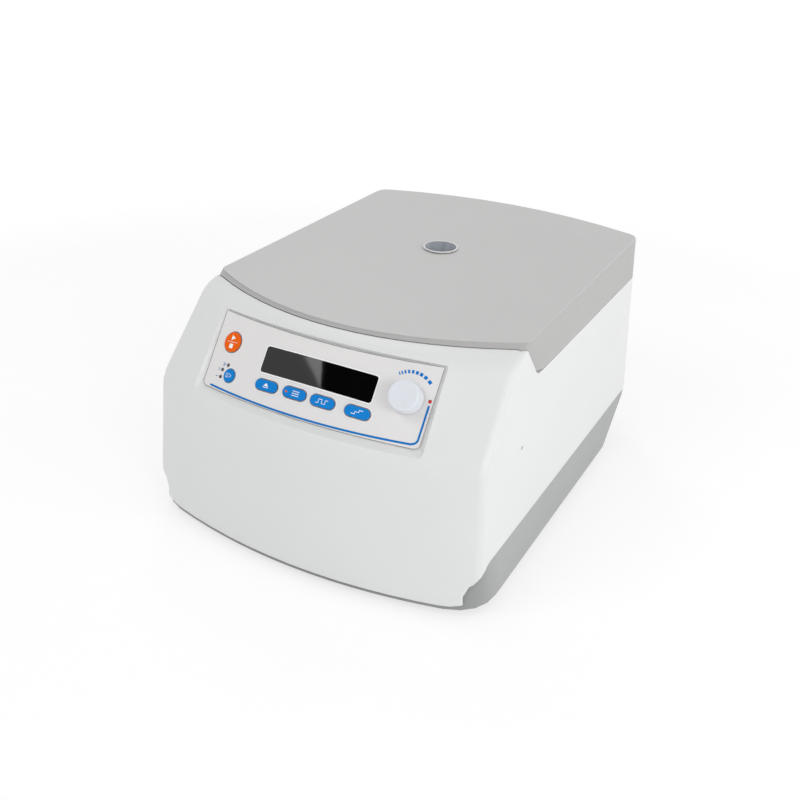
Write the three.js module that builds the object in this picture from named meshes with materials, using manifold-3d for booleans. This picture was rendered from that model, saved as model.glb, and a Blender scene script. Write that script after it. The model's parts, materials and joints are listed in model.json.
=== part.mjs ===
// Bench centrifuge with a lift-up lid, a bowed front fascia and a sloped control panel.
// Millimetres, +Z up, front towards -Y. Origin on the floor, below the middle of the whole machine.
// Body pieces are drawn in a body frame: x across, y = setback behind the foot of the fascia,
// z = level above the underside of the base.

import * as THREE from 'three';
import { mergeVertices } from 'three/addons/utils/BufferGeometryUtils.js';
import Module from 'manifold-3d';

const wasm = await Module();
wasm.setup();

// Whole body
const bodyDepth = 416;
const footHalfWidth = 157.6;
const sideDraftShare = 0.076;
const bowSideMargin = 14.6;
const rearBow = 27;
const frontCornerRound = 6;
const rearCornerRound = 10;
const sideBlend = 20;
const wall = 3;
const seam = 0.7;
const gap = 0.3;
const overrun = 5;
const weld = 0.0005;

// Front profile: each point's setback, level and the bow of the line across it
const fasciaFoot = { setback: 0, level: 0, bow: 21.5 };
const bevel = { setback: 8.5, level: 120.8, bow: 21.5 };
const fold = { setback: 49.5, level: 184.1, bow: 38.5 };
const browEnd = { setback: 63.5, level: 187.1, bow: 43.1 };
const lipTop = { setback: 66, level: 190.6, bow: 45 };
const bevelRound = 9;
const foldRound = 8;

// Lid
const deckLevel = 157.5;
const splitStep = 0.2;
const splitRunShare = 0.78;
const splitLowRound = 3;
const lidEndDepth = 3.5;
const lidEndRun = 9;
const lidEndMargin = 3;
const lidRearLevel = 197;
const lidCrown = 4;
const lidEdgeRound = 3.5;
const lipRound = 1.2;
const lidLowShare = 0.8;
const lidLowLevel = 170;
const linerSheet = 1.5;
const linerBossRadius = 5;
const linerBossSideMargin = 57.6;
const linerBossFront = 152;
const linerBossRearMargin = 66;

// Base
const partingLevel = 40.3;
const frontSkirtLevel = 3;
const partingCurveRear = 42;
const partingCurveFront = 22;
const skirtCornerRun = 30;
const baseCornerRound = 29;
const baseCornerLevel = 52;
const undercutReach = 95;
const undercutRise = 42;
const undercutRun = 69;
const baseInset = 0.8;
const baseWall = 2.5;
const baseFloor = 2.3;
const footHeight = 7;
const footRadius = 14;
const footStemRadius = 3.2;
const footSideMargin = 39.6;
const footFront = 40;
const footRearMargin = 31;

// Chamber
const chamberFront = 128;
const chamberRearMargin = 48;
const chamberSideMargin = 37.6;
const bowlSheet = 1.5;
const bowlFloorLevel = 48;
const bowlFlangeWidth = 10;
const bowlCornerRound = 16;
const gasketHeight = 7.4;
const gasketWidth = 8.5;
const motorRoom = 4.5;
const collarHeight = 6;
const bootSheet = 2;
const bootShoulderLevel = 80;
const bootTopLevel = 88;
const deckMargin = 8;
const deckCornerRound = 45;
const deckEarWidth = 6;
const deckEarLength = 100;
const deckEarSheet = 1.5;

// Motor and shaft
const damperCount = 3;
const damperRadius = 10;
const damperHeight = 15.3;
const damperCircle = 46;
const motorPlateRadius = 58;
const motorPlateSheet = 3;
const motorPlateHole = 20;
const motorRadius = 37.5;
const motorHeight = 52.4;
const motorBossRadius = 12;
const motorBossHeight = 5;
const shaftRadius = 5;
const shaftSocketDepth = 29;
const shaftLength = 82;

// Rotor
const tubeCount = 8;
const tubeTilt = 35;
const seatRadius = 48;
const seatLevel = 134;
const dishThickness = 14;
const dishInnerRadius = 26;
const dishOuterRadius = 70;
const rimWidth = 8;
const rimDrop = 8.5;
const hubRadius = 17;
const hubBottomLevel = 95;
const sleeveBore = 8.6;
const sleeveSheet = 1.2;
const rotorClearance = 13.5;
const sleeveEndRound = 5;
const sleeveCollarWidth = 2.6;
const sleeveCollarHeight = 2;
const nutRadius = 13;
const nutHeight = 19;
const nutShoulder = 9;
const nutTopRadius = 8;
const nutCap = 4;

// Sight port
const portRadius = 16;
const portFlangeHeight = 0.8;
const portTubeRadius = 14.9;
const portTubeSheet = 2.6;
const funnelTopRadius = 14.4;
const funnelBottomRadius = 9.5;
const funnelDepth = 8.7;
const portPaneThickness = 2.6;

// Lid lock and its release from the side
const lockSetback = 100.5;
const boltLevel = 137.5;
const boltRadius = 3.5;
const boltTravel = 8;
const boltClearance = 0.4;
const tongueThickness = 4;
const tongueWidth = 14;
const tongueLowLevel = 130;
const tongueWindow = 9;
const strikerLength = 30;
const strikerWidth = 20;
const strikerSheet = 2;
const slotLength = 21;
const slotWidth = 10;
const lockSheet = 3;
const lockCheekInside = 5.5;
const lockCheekWidth = 17;
const lockCheekLowLevel = 128;
const lockPlateWidth = 27;
const lockPlateLeft = -78;
const lockPlateRight = 15;
const sliderWidth = 16;
const sliderLeft = -23;
const sliderHighLevel = 142;
const sliderLowLevel = 103;
const solenoidLength = 40;
const solenoidWidth = 26;
const solenoidRight = -35;
const solenoidBoreDepth = 30;
const plungerRadius = 4;
const plungerLength = 39;
const releaseLevel = 108.1;
const releaseRodRadius = 2;
const releaseHoleRadius = 1.75;
const releaseBossRadius = 4.5;
const releaseBossLength = 18;

// Hinge at the rear of the lid
const hingeOverhang = 9;
const hingeSpread = 70;
const hingeWidth = 28;
const knuckleRadius = 5.5;
const middleKnuckleWidth = 10;
const hingePinRadius = 2.5;
const hingePinLength = 30;
const hingeLeafDepth = 6;
const hingeBaseHeight = 19;
const hingeArmHeight = 20;
const hingeLeafOffset = 6.4;
const hingeWebDrop = 10;

// Control panel: the bed is a cylinder that follows the bow of the slope
const bedAngle = 54.4;
const bedRecess = 7.8;
const bedBend = 571;
const bedWall = 3;
const foilThickness = 0.8;
const foilShift = -2;
const foilHalfWidth = 99.6;
const foilTop = 31;
const foilBottom = -31.8;
const foilTopRise = 6.4;
const foilBottomRise = 5.2;
const foilLowCornerRound = 4;
const foilHighCornerRound = 1;
const foilMargin = 0.8;
const recessSideRunShare = 0.8;
const recessLowRunShare = 1.4;
const recessHighRunShare = 0.15;
const recessReach = 12;
const bedBlockMargin = 9;
const bendStep = 25;

// Display pane in the panel
const display = { x: 1.5, s: 6.5, width: 100, height: 21, cornerRound: 2.2 };
const displayLedge = 3;
const windowRound = 1;
const paneThickness = 0.7;

// Keys and lamps: x across and s up the slope from the middle of the bed, inset from a side of the foil
const runPlace = { inset: 17.8, s: 12.5, radius: 8.3 };
const brakePlace = { inset: 25.4, s: -14.2, radius: 5.3 };
const doorPlace = { x: -37.9, s: -13.6 };
const orderPlace = { x: -11.4, s: -13.2 };
const pulsePlace = { x: 13.9, s: -13.2 };
const programPlace = { x: 43.7, s: -13.1 };
const pillWidth = 21;
const pillHeight = 8.4;
const keyTravel = 0.8;
const keyThickness = 1.1;
const keyRim = 0.3;
const keyStemRadius = 2;
const highLampPlace = { inset: 20.6, s: -6.3 };
const middleLampPlace = { inset: 16.1, s: -10.9 };
const lowLampPlace = { inset: 16.3, s: -16.8 };
const runLampPlace = { inset: 3.3, s: 9.9 };
const lampRadius = 1.25;
const lampHeight = 8.5;
const lampDome = 0.4;

// Knob and its encoder
const knobPlace = { inset: 19.9, s: 7.8 };
const knobSize = { footRadius: 12.2, topRadius: 11.5, height: 14, edgeRound: 1 };
const knobRecessRadius = 6;
const knobRecessDepth = 1.7;
const knobBoreDepth = 9.6;
const encoderWidth = 14;
const encoderDepth = 6.2;
const encoderBushRadius = 4;
const encoderShaftRadius = 3;
const knobFloat = 0.6;

// Control board behind the bed
const boardDepth = 17.5;
const boardSheet = 1.6;
const boardInset = 3.6;
const boardKnobMargin = 13.7;
const boardHalfHeight = 26;
const switchSize = 6;
const switchHeight = 5;
const displayModuleMargin = 2;
const displayModuleDepth = 11;
const boardPostRadius = 3;
const boardPostInset = 5;

// Power inlet and switch in a flat pocket at the rear
const pocketHalfWidth = 56;
const pocketLow = 78;
const pocketHigh = 122;
const pocketDepth = 8;
const pocketMargin = 4;
const powerLevel = 100;
const inlet = { x: -22, width: 28, height: 21, depth: 20 };
const inletFlange = { width: 50, height: 28, sheet: 3 };
const inletCavityWidth = 24.5;
const inletCavityHeight = 17;
const inletCavityDepth = 17;
const inletCavityCut = 4;
const bladeWidth = 2;
const bladeHeight = 4;
const bladeLength = 11;
const bladeSpread = 7;
const bladeRaise = 2;
const rockerX = 32;
const switchFlangeWidth = 22;
const switchFlangeHeight = 30;
const switchFlangeSheet = 2;
const switchBodyWidth = 19;
const switchBodyHeight = 27;
const switchBodyDepth = 12;
const rockerWidth = 15;
const rockerHeight = 22;
const rockerFace = 5.6;
const rockerWaist = 4;
const rockerBack = 2.5;
const rockerTilt = 8;
const rockerPivotDepth = 3.8;
const rockerCavityHeight = 24.4;
const rockerCavityDepth = 10.5;
const rockerPinRadius = 1.2;
const rockerPinLength = 1;

// Vents in the rear wall
const ventWidth = 3;
const ventPitch = 8;
const ventPocketMargin = 18;
const ventSideMargin = 43;
const ventLow = 80;
const ventHigh = 120;

// Drive board on the floor of the base
const driveBoard = { left: -120, right: -20, front: 55, rear: 125, level: 10, sheet: 1.6 };
const drivePostRadius = 3.5;
const drivePostInset = 6;
const transformer = { inset: 22, width: 32, depth: 40, height: 28 };
const capacitor = { inset: 58, frontInset: 20, rearInset: 23, radius: 10, height: 26 };
const coolerPlate = { inset: 84, width: 4, depth: 52, height: 24 };

// Counts of flat steps on curved outlines
const outsideSteps = { front: 14, rear: 8, corner: 4, bend: 3 };
const insideSteps = { front: 8, rear: 4, corner: 2, bend: 2 };
const foilSteps = 10;
const cornerSteps = 3;
const wideSteps = 40;
const roundSteps = 24;
const smallSteps = 16;
const tinySteps = 10;
const sleeveSteps = 12;
const rotorSteps = 4 * tubeCount;

// Places that follow from the sizes above
const rad = THREE.MathUtils.degToRad;
const fasciaShares = [0, 0.08, 0.2, 0.43];
const edgeShares = [0, 0.07, 0.29, 1];
const crownShares = [0.15, 0.4, 0.7];
const bowHalfWidth = footHalfWidth - bowSideMargin;
const undercutSetback = bodyDepth - undercutReach;
const footSpread = footHalfWidth - footSideMargin;
const footRear = undercutSetback - footRearMargin;
const pocketSetback = bodyDepth - pocketDepth;
const linerBossSpread = footHalfWidth - linerBossSideMargin;
const linerBossRear = bodyDepth - linerBossRearMargin;
const chamberDepth = bodyDepth - chamberRearMargin - chamberFront;
const bowlRadius = Math.min(chamberDepth / 2, footHalfWidth - chamberSideMargin);
const rotorSetback = chamberFront + bowlRadius;
const motorHoleRadius = motorRadius + motorRoom;
const deckHalfWidth = bowlRadius + deckMargin;
const sleeveRadius = sleeveBore + sleeveSheet;
const sleeveReach = bowlRadius - rotorClearance - seatRadius - sleeveRadius * Math.cos(rad(tubeTilt));
const sleeveDepth = sleeveReach / Math.sin(rad(tubeTilt));
const foremost = bevel.setback * frontSkirtLevel / bevel.level;
const hingeSetback = bodyDepth + hingeOverhang - knuckleRadius;
const hingeLevel = deckLevel + seam / 2;
const linerLevel = deckLevel + gap + bowlSheet + gap + gasketHeight + gap;
const deckUnderside = deckLevel - wall;
const fasciaSlope = Math.atan2(bevel.level - fasciaFoot.level, bevel.setback - fasciaFoot.setback);
const bedSetback = (bevel.setback + fold.setback) / 2 + bedRecess;
const bedLevel = (bevel.level + fold.level) / 2;
const foilLeft = foilShift - foilHalfWidth;
const foilRight = foilShift + foilHalfWidth;
const roundKeys = [
  { name: 'run_key', x: foilLeft + runPlace.inset, s: runPlace.s, radius: runPlace.radius },
  { name: 'brake_key', x: foilLeft + brakePlace.inset, s: brakePlace.s, radius: brakePlace.radius },
];
const pillKeys = [
  { name: 'door_key', ...doorPlace },
  { name: 'order_key', ...orderPlace },
  { name: 'pulse_key', ...pulsePlace },
  { name: 'program_key', ...programPlace },
];
const lamps = [
  { name: 'brake_lamp_1', x: foilLeft + highLampPlace.inset, s: highLampPlace.s },
  { name: 'brake_lamp_2', x: foilLeft + middleLampPlace.inset, s: middleLampPlace.s },
  { name: 'brake_lamp_3', x: foilLeft + lowLampPlace.inset, s: lowLampPlace.s },
  { name: 'run_lamp', x: foilRight - runLampPlace.inset, s: runLampPlace.s },
];
const knob = { x: foilRight - knobPlace.inset, s: knobPlace.s, ...knobSize };
const boardLeft = foilLeft + boardInset;
const boardRight = knob.x - boardKnobMargin;

// Materials
function finish(color, roughness, metalness) {
  return new THREE.MeshStandardMaterial({ color, roughness, metalness });
}

const coverWhite = finish(0xe2e3e2, 0.45, 0);
const lidGrey = finish(0xc6c5c4, 0.5, 0);
const baseGrey = finish(0xb4b4b4, 0.55, 0);
const foilPale = finish(0xe7e5e4, 0.5, 0);
const glassBlack = finish(0x050505, 0.1, 0);
const keyBlue = finish(0x0079d0, 0.4, 0);
const keyOrange = finish(0xf26400, 0.4, 0);
const knobPearl = finish(0xe2e8f0, 0.25, 0);
const lampDark = finish(0x4a4542, 0.3, 0);
const lampRed = finish(0xd6281e, 0.3, 0);
const portGrey = finish(0x8d9097, 0.4, 0);
const paneGrey = finish(0x6f747c, 0.1, 0);
const steel = finish(0xbfc3c6, 0.3, 1);
const zinc = finish(0xa9acae, 0.45, 1);
const aluminium = finish(0xc9ccd0, 0.35, 1);
const rubber = finish(0x2a2a2b, 0.85, 0);
const gasketRubber = finish(0x55585b, 0.8, 0);
const sleeveWhite = finish(0xe9e7df, 0.5, 0);
const boardGreen = finish(0x1f5c3a, 0.6, 0);
const blackPlastic = finish(0x1b1b1d, 0.5, 0);
const motorBlack = finish(0x2d2f33, 0.5, 0.6);

// Geometry helpers

// Closed geometry with shared corners, no slivers and its faces outwards
function closed(geometry) {
  const plain = geometry.clone();
  plain.deleteAttribute('normal');
  plain.deleteAttribute('uv');
  const merged = mergeVertices(plain, weld);
  const position = merged.attributes.position;
  const [a, b, c] = [new THREE.Vector3(), new THREE.Vector3(), new THREE.Vector3()];
  const kept = [];
  let volume = 0;
  for (let i = 0; i < merged.index.count; i += 3) {
    const [p, q, r] = [0, 1, 2].map((k) => merged.index.getX(i + k));
    if (p !== q && q !== r && r !== p) {
      kept.push(p, q, r);
      a.fromBufferAttribute(position, p);
      b.fromBufferAttribute(position, q);
      c.fromBufferAttribute(position, r);
      volume += a.dot(b.cross(c));
    }
  }
  merged.setIndex(volume < 0 ? kept.reverse() : kept);
  return merged;
}

function toSolid(geometry) {
  const vertProperties = new Float32Array(geometry.attributes.position.array);
  const triVerts = new Uint32Array(geometry.index.array);
  return new wasm.Manifold(new wasm.Mesh({ numProp: 3, vertProperties, triVerts }));
}

function toGeometry(solid) {
  const mesh = solid.getMesh();
  const position = [];
  for (let i = 0; i < mesh.numVert; i += 1) {
    position.push(...mesh.vertProperties.slice(i * mesh.numProp, i * mesh.numProp + 3));
  }
  const geometry = new THREE.BufferGeometry();
  geometry.setAttribute('position', new THREE.Float32BufferAttribute(position, 3));
  geometry.setIndex(Array.from(mesh.triVerts));
  return geometry;
}

function cut(first, ...tools) {
  return toGeometry(tools.reduce((left, tool) => left.subtract(toSolid(tool)), toSolid(first)));
}

function join(first, ...others) {
  return toGeometry(others.reduce((sum, other) => sum.add(toSolid(other)), toSolid(first)));
}

function shared(first, second) {
  return toGeometry(toSolid(first).intersect(toSolid(second)));
}

function moved(geometry, x, y, z) {
  return geometry.clone().translate(x, y, z);
}

function box(lowX, highX, lowY, highY, lowZ, highZ) {
  const geometry = new THREE.BoxGeometry(highX - lowX, highY - lowY, highZ - lowZ);
  return closed(geometry.translate((lowX + highX) / 2, (lowY + highY) / 2, (lowZ + highZ) / 2));
}

// Solid of revolution round z from radius and height pairs, which start and end on the axis
function turned(outline, steps) {
  const points = outline.map(([radius, height]) => new THREE.Vector2(radius, height));
  return closed(new THREE.LatheGeometry(points, steps).rotateX(Math.PI / 2));
}

// The same for a ring: its outline closes on itself
function turnedRing(outline, steps) {
  return turned([...outline, outline[0]], steps);
}

function rod(radius, low, high, steps) {
  return turned([[0, low], [radius, low], [radius, high], [0, high]], steps);
}

function rodAlongX(radius, low, high, y, z, steps) {
  return moved(rod(radius, low, high, steps).rotateY(Math.PI / 2), 0, y, z);
}

// Closed solid through a row of rings of x, y, z points, each ring with the same count
function ringSolid(rings) {
  const count = rings[0].length;
  const points = rings.flat();
  const index = [];
  for (let r = 0; r + 1 < rings.length; r += 1) {
    for (let i = 0; i < count; i += 1) {
      const next = (i + 1) % count;
      const low = r * count;
      const high = low + count;
      index.push(low + i, low + next, high + next, low + i, high + next, high + i);
    }
  }
  const last = rings.length - 1;
  for (const ring of [0, last]) {
    const sum = rings[ring].reduce((total, point) => total.map((value, k) => value + point[k]));
    const middle = points.length;
    points.push(sum.map((value) => value / count));
    for (let i = 0; i < count; i += 1) {
      const here = ring * count + i;
      const next = ring * count + (i + 1) % count;
      index.push(...(ring === 0 ? [middle, next, here] : [middle, here, next]));
    }
  }
  const geometry = new THREE.BufferGeometry();
  geometry.setAttribute('position', new THREE.Float32BufferAttribute(points.flat(), 3));
  geometry.setIndex(index);
  return closed(geometry);
}

// Flat outline pushed from low to high along z
function plate(outline, low, high) {
  const shape = new THREE.Shape(outline.map(([u, v]) => new THREE.Vector2(u, v)));
  const geometry = new THREE.ExtrudeGeometry(shape, { depth: high - low, bevelEnabled: false });
  return closed(geometry.translate(0, 0, low));
}

// Outline of y and z pairs pushed from low to high along x
function sidePlate(outline, low, high) {
  const toSide = new THREE.Matrix4().makeBasis(
    new THREE.Vector3(0, 1, 0),
    new THREE.Vector3(0, 0, 1),
    new THREE.Vector3(1, 0, 0),
  );
  return closed(plate(outline, low, high).applyMatrix4(toSide));
}

function mix(from, to, share) {
  return from.map((value, k) => value + (to[k] - value) * share);
}

function curve(from, by, to, share) {
  return mix(mix(from, by, share), mix(by, to, share), share);
}

function curvePoints(from, by, to, steps) {
  return Array.from({ length: steps + 1 }, (_, i) => curve(from, by, to, i / steps));
}

// Points at even steps from -end to end, at a setback that depends on x
function across(end, steps, at) {
  return Array.from({ length: steps + 1 }, (_, i) => {
    const x = end * (2 * i / steps - 1);
    return [x, at(x)];
  });
}

// Rectangle with round corners, as an outline
function roundRectangle(x, y, width, height, round, steps) {
  const outline = [];
  for (const [signX, signY, start] of [[1, 1, 0], [-1, 1, 1], [-1, -1, 2], [1, -1, 3]]) {
    for (let i = 0; i <= steps; i += 1) {
      const angle = (start + i / steps) * Math.PI / 2;
      const middleX = x + signX * (width / 2 - round);
      const middleY = y + signY * (height / 2 - round);
      outline.push([middleX + round * Math.cos(angle), middleY + round * Math.sin(angle)]);
    }
  }
  return outline.filter(([u, v], i) => {
    const [nextU, nextV] = outline[(i + 1) % outline.length];
    return Math.hypot(nextU - u, nextV - v) > weld;
  });
}

function piece(name, geometry, material, parent) {
  geometry.computeVertexNormals();
  const mesh = new THREE.Mesh(geometry, material);
  mesh.name = name;
  parent.add(mesh);
  return mesh;
}

// Outer form of the closed machine

// Plan outline at one level, counter-clockwise from the front left, as x and setback pairs
function planOutline(foremost, bow, halfWidth, frontRound, inset, steps) {
  const frontAt = (x) => foremost + bow * (x / bowHalfWidth) ** 2;
  const rearAt = (x) => bodyDepth - inset - rearBow * (x / bowHalfWidth) ** 2;
  const rearRound = rearCornerRound - inset;
  const frontEnd = halfWidth - frontRound;
  const rearEnd = halfWidth - rearRound;
  const frontCorner = curvePoints(
    [frontEnd, frontAt(frontEnd)],
    [halfWidth, frontAt(halfWidth)],
    [halfWidth, frontAt(halfWidth) + frontRound],
    steps.corner,
  );
  const rearCorner = curvePoints(
    [halfWidth, rearAt(halfWidth) - rearRound],
    [halfWidth, rearAt(halfWidth)],
    [rearEnd, rearAt(rearEnd)],
    steps.corner,
  );
  const right = [...frontCorner.slice(1), ...rearCorner.slice(0, -1)];
  const left = right.map(([x, y]) => [-x, y]).reverse();
  const front = across(frontEnd, steps.front, frontAt);
  const rear = across(rearEnd, steps.rear, rearAt).reverse();
  return [...front, ...right, ...rear, ...left];
}

// The front corners keep their round, or grow rounder towards the floor, as those of the base do
function cornerRoundAt(level, floorRound) {
  const share = Math.max(0, 1 - level / baseCornerLevel);
  return frontCornerRound + (floorRound - frontCornerRound) * share * share;
}

// The sides stay lower than the brow, to leave room for the round edge of the lid
function sideLevelOf(level) {
  return level < lidLowLevel ? level : lidLowLevel + (level - lidLowLevel) * lidLowShare;
}

// Plane through the front and rear top edges of the lid
function lidPlaneLevel(setback) {
  const share = (setback - lipTop.setback) / (bodyDepth - lipTop.setback);
  return lipTop.level + (lidRearLevel - lipTop.level) * share;
}

// Front profile drawn inwards by inset, mitred at its corners
function insetProfile(inset) {
  const points = [fasciaFoot, bevel, fold, browEnd, lipTop];
  const headings = points.slice(1).map((to, i) => (
    Math.atan2(to.level - points[i].level, to.setback - points[i].setback)));
  headings.push(0);
  const profile = points.map((point, i) => {
    const before = headings[Math.max(i - 1, 0)];
    const half = (before + headings[i]) / 2;
    const reach = inset / Math.cos((before - headings[i]) / 2);
    return [point.setback + reach * Math.sin(half), point.level - reach * Math.cos(half), point.bow];
  });
  const [, bend] = profile;
  profile[0] = [bend[0] - bend[1] / Math.tan(fasciaSlope), 0, fasciaFoot.bow];
  return profile;
}

// Point of the profile at a distance from a corner towards another corner
function towards(corner, other, distance) {
  return mix(corner, other, distance / Math.hypot(other[0] - corner[0], other[1] - corner[1]));
}

function rounded(before, corner, after, round, steps) {
  return curvePoints(towards(corner, before, round), corner, towards(corner, after, round), steps);
}

function form(inset, steps, floorRound = frontCornerRound) {
  const [foot, bend, crease, brow, lip] = insetProfile(inset);
  const fronts = [
    ...fasciaShares.map((share) => mix(foot, bend, share)),
    ...rounded(foot, bend, crease, bevelRound, steps.bend),
    ...rounded(bend, crease, brow, foldRound, steps.bend),
    brow,
  ];
  const sideShareAt = (y, end) => THREE.MathUtils.clamp((y - end) / sideBlend, 0, 1);
  const rings = fronts.map(([setback, level, bow]) => {
    const sideLevel = sideLevelOf(level);
    const halfWidth = footHalfWidth - sideDraftShare * sideLevel - inset;
    const frontRound = cornerRoundAt(level, floorRound) - inset / 2;
    const outline = planOutline(setback, bow, halfWidth, frontRound, inset, steps);
    return outline.map(([x, y]) => [x, y, level + (sideLevel - level) * sideShareAt(y, setback + bow)]);
  });
  for (const share of edgeShares) {
    const dropShare = edgeShares[edgeShares.length - 1 - edgeShares.indexOf(share)];
    const halfWidth = footHalfWidth - sideDraftShare * lipTop.level - inset - lidEdgeRound * share;
    const front = lip[0] + lipRound * share;
    const rearInset = inset + lidEdgeRound * share;
    const outline = planOutline(front, lip[2], halfWidth, frontCornerRound - inset / 2, rearInset, steps);
    rings.push(outline.map(([x, y]) => {
      const edgeRound = lipRound + (lidEdgeRound - lipRound) * sideShareAt(y, front + lip[2]);
      return [x, y, lidPlaneLevel(y) - inset - edgeRound * dropShare];
    }));
  }
  const rim = rings[rings.length - 1];
  const crownSetback = (lip[0] + bodyDepth) / 2;
  for (const share of crownShares) {
    rings.push(rim.map(([x, y]) => {
      const setback = y + (crownSetback - y) * share;
      const rise = lidCrown * (1 - (1 - share) ** 2);
      return [x * (1 - share), setback, lidPlaneLevel(setback) - inset + rise];
    }));
  }
  return cut(ringSolid(rings), undercut(inset));
}

// Wedge below the slanted rear of the base
function undercut(inset) {
  const length = Math.hypot(undercutRun, undercutRise);
  const back = undercutSetback - inset * undercutRise / length;
  const up = inset * undercutRun / length;
  const low = [back - undercutRun, up - undercutRise];
  const high = [back + 2 * undercutRun, up + 2 * undercutRise];
  return sidePlate([low, [high[0], low[1]], high], -bodyDepth, bodyDepth);
}

// Space that the lid takes from the form: above the deck and behind the bowed, slanted step.
// An end run slants its outermost strips back, which leaves a chamfer down each end of the lid.
function lidRegion(grow, bottom, top, lowRound, endRun) {
  const forward = grow / Math.sin(Math.atan(1 / splitRunShare));
  const browAt = (x) => browEnd.setback + splitStep + browEnd.bow * (x / bowHalfWidth) ** 2;
  const rear = bodyDepth + overrun;
  const column = (xAt, browLine) => {
    const stepAt = (level) => browLine - forward + (browEnd.level - level) * splitRunShare;
    return [
      [xAt(bottom), stepAt(bottom) + lowRound, bottom],
      [xAt(bottom + lowRound), stepAt(bottom + lowRound), bottom + lowRound],
      [xAt(top), stepAt(top), top],
      [xAt(top), rear, top],
      [xAt(bottom), rear, bottom],
    ];
  };
  const sideAt = (level) => footHalfWidth - sideDraftShare * level;
  const end = bowHalfWidth - lidEndDepth - lidEndMargin;
  const lean = (browAt(bowHalfWidth) - browAt(end) + endRun) * (1 + overrun / lidEndDepth);
  const ends = (side) => [
    column((level) => side * (sideAt(level) + overrun), browAt(end) + lean),
    column((level) => side * (sideAt(level) - lidEndDepth), browAt(end)),
  ];
  const middle = across(end, outsideSteps.front, browAt);
  return ringSolid([
    ...ends(-1),
    ...middle.map(([x, browLine]) => column(() => x, browLine)),
    ...ends(1).reverse(),
  ]);
}

const aboveLid = lidRearLevel + lidCrown + overrun;

// Space below a front lower corner of the cover, which is round in the front view
function belowCorner(side, drop) {
  const low = frontSkirtLevel - drop;
  const high = frontSkirtLevel + skirtCornerRun;
  const end = footHalfWidth - sideDraftShare * high + drop;
  const beyond = end + overrun;
  const line = curvePoints([end - skirtCornerRun, low], [end, low], [end, high], 2 * cornerSteps);
  const outline = [...line, [beyond, high], [beyond, -overrun], [end - skirtCornerRun, -overrun]];
  const slab = plate(outline.map(([x, level]) => [side * x, level]), -partingCurveRear, overrun);
  return closed(slab.rotateX(Math.PI / 2));
}

// Everything below the parting line between cover and base, seen from the side
function belowParting(drop) {
  const low = frontSkirtLevel - drop;
  const high = partingLevel - drop;
  const front = partingCurveFront + drop;
  const line = curvePoints([front, low], [front, high], [partingCurveRear, high], 2 * cornerSteps);
  const behind = bodyDepth + overrun;
  const outline = [[-overrun, low], ...line, [behind, high], [behind, -overrun], [-overrun, -overrun]];
  return join(
    sidePlate(outline, -bodyDepth, bodyDepth),
    belowCorner(-1, drop),
    belowCorner(1, drop),
  );
}

// Control panel: drawn flat as x across, s up the slope and h out of the bed, then bent

// Part of a flat polygon on one side of the plane at x
function clipped(polygon, x, side) {
  const kept = [];
  polygon.forEach((point, i) => {
    const next = polygon[(i + 1) % polygon.length];
    if (side * (point[0] - x) >= 0) kept.push(point);
    if ((point[0] - x) * (next[0] - x) < 0) {
      const [low, high] = point[0] < next[0] ? [point, next] : [next, point];
      kept.push(mix(low, high, (x - low[0]) / (high[0] - low[0])));
    }
  });
  return kept;
}

// Triangles of a geometry, split where they cross the planes a bend step apart
function splitAcross(geometry) {
  const source = geometry.toNonIndexed().attributes.position;
  const points = [];
  for (let i = 0; i < source.count; i += 3) {
    const triangle = [0, 1, 2].map((k) => new THREE.Vector3().fromBufferAttribute(source, i + k).toArray());
    const reach = triangle.map(([x]) => x / bendStep);
    const last = Math.ceil(Math.max(...reach));
    for (let strip = Math.floor(Math.min(...reach)); strip < last; strip += 1) {
      const strap = clipped(clipped(triangle, strip * bendStep, 1), (strip + 1) * bendStep, -1);
      for (let k = 1; k + 1 < strap.length; k += 1) {
        points.push(...strap[0], ...strap[k], ...strap[k + 1]);
      }
    }
  }
  const split = new THREE.BufferGeometry();
  split.setAttribute('position', new THREE.Float32BufferAttribute(points, 3));
  return split;
}

function bent(geometry) {
  const split = splitAcross(geometry);
  const position = split.attributes.position;
  for (let i = 0; i < position.count; i += 1) {
    const angle = position.getX(i) / bedBend;
    const radius = bedBend + position.getZ(i);
    position.setXYZ(i, radius * Math.sin(angle), position.getY(i), radius * Math.cos(angle) - bedBend);
  }
  return closed(split);
}

function toBed(object) {
  object.position.set(0, bedSetback, bedLevel);
  object.rotation.x = rad(bedAngle);
  object.updateMatrix();
  return object;
}

function inBodyFrame(geometry) {
  return geometry.clone().applyMatrix4(toBed(new THREE.Object3D()).matrix);
}

// Place and turn an object on the bent bed
function standOnBed(object, x, s) {
  const angle = x / bedBend;
  object.position.set(bedBend * Math.sin(angle), s, bedBend * Math.cos(angle) - bedBend);
  object.rotation.y = angle;
  return object;
}

// Outline of the foil, grown outwards at its sides, low edge and high edge
function foilOutline(side, low, high) {
  const halfWidth = foilHalfWidth + side;
  const lowAt = (x) => foilBottom - low + foilBottomRise * (x / foilHalfWidth) ** 2;
  const highAt = (x) => foilTop + high + foilTopRise * (x / foilHalfWidth) ** 2;
  const lowEnd = halfWidth - foilLowCornerRound;
  const highEnd = halfWidth - foilHighCornerRound;
  const lowCorner = curvePoints(
    [lowEnd, lowAt(lowEnd)],
    [halfWidth, lowAt(halfWidth)],
    [halfWidth, lowAt(halfWidth) + foilLowCornerRound],
    cornerSteps,
  ).slice(1);
  const highCorner = curvePoints(
    [halfWidth, highAt(halfWidth) - foilHighCornerRound],
    [halfWidth, highAt(halfWidth)],
    [highEnd, highAt(highEnd)],
    2,
  ).slice(0, -1);
  const right = [...lowCorner, ...highCorner];
  const left = right.map(([x, s]) => [-x, s]).reverse();
  const lowLine = across(lowEnd, foilSteps, lowAt);
  const highLine = across(highEnd, foilSteps, highAt).reverse();
  return [...lowLine, ...right, ...highLine, ...left].map(([x, s]) => [x + foilShift, s]);
}

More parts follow.
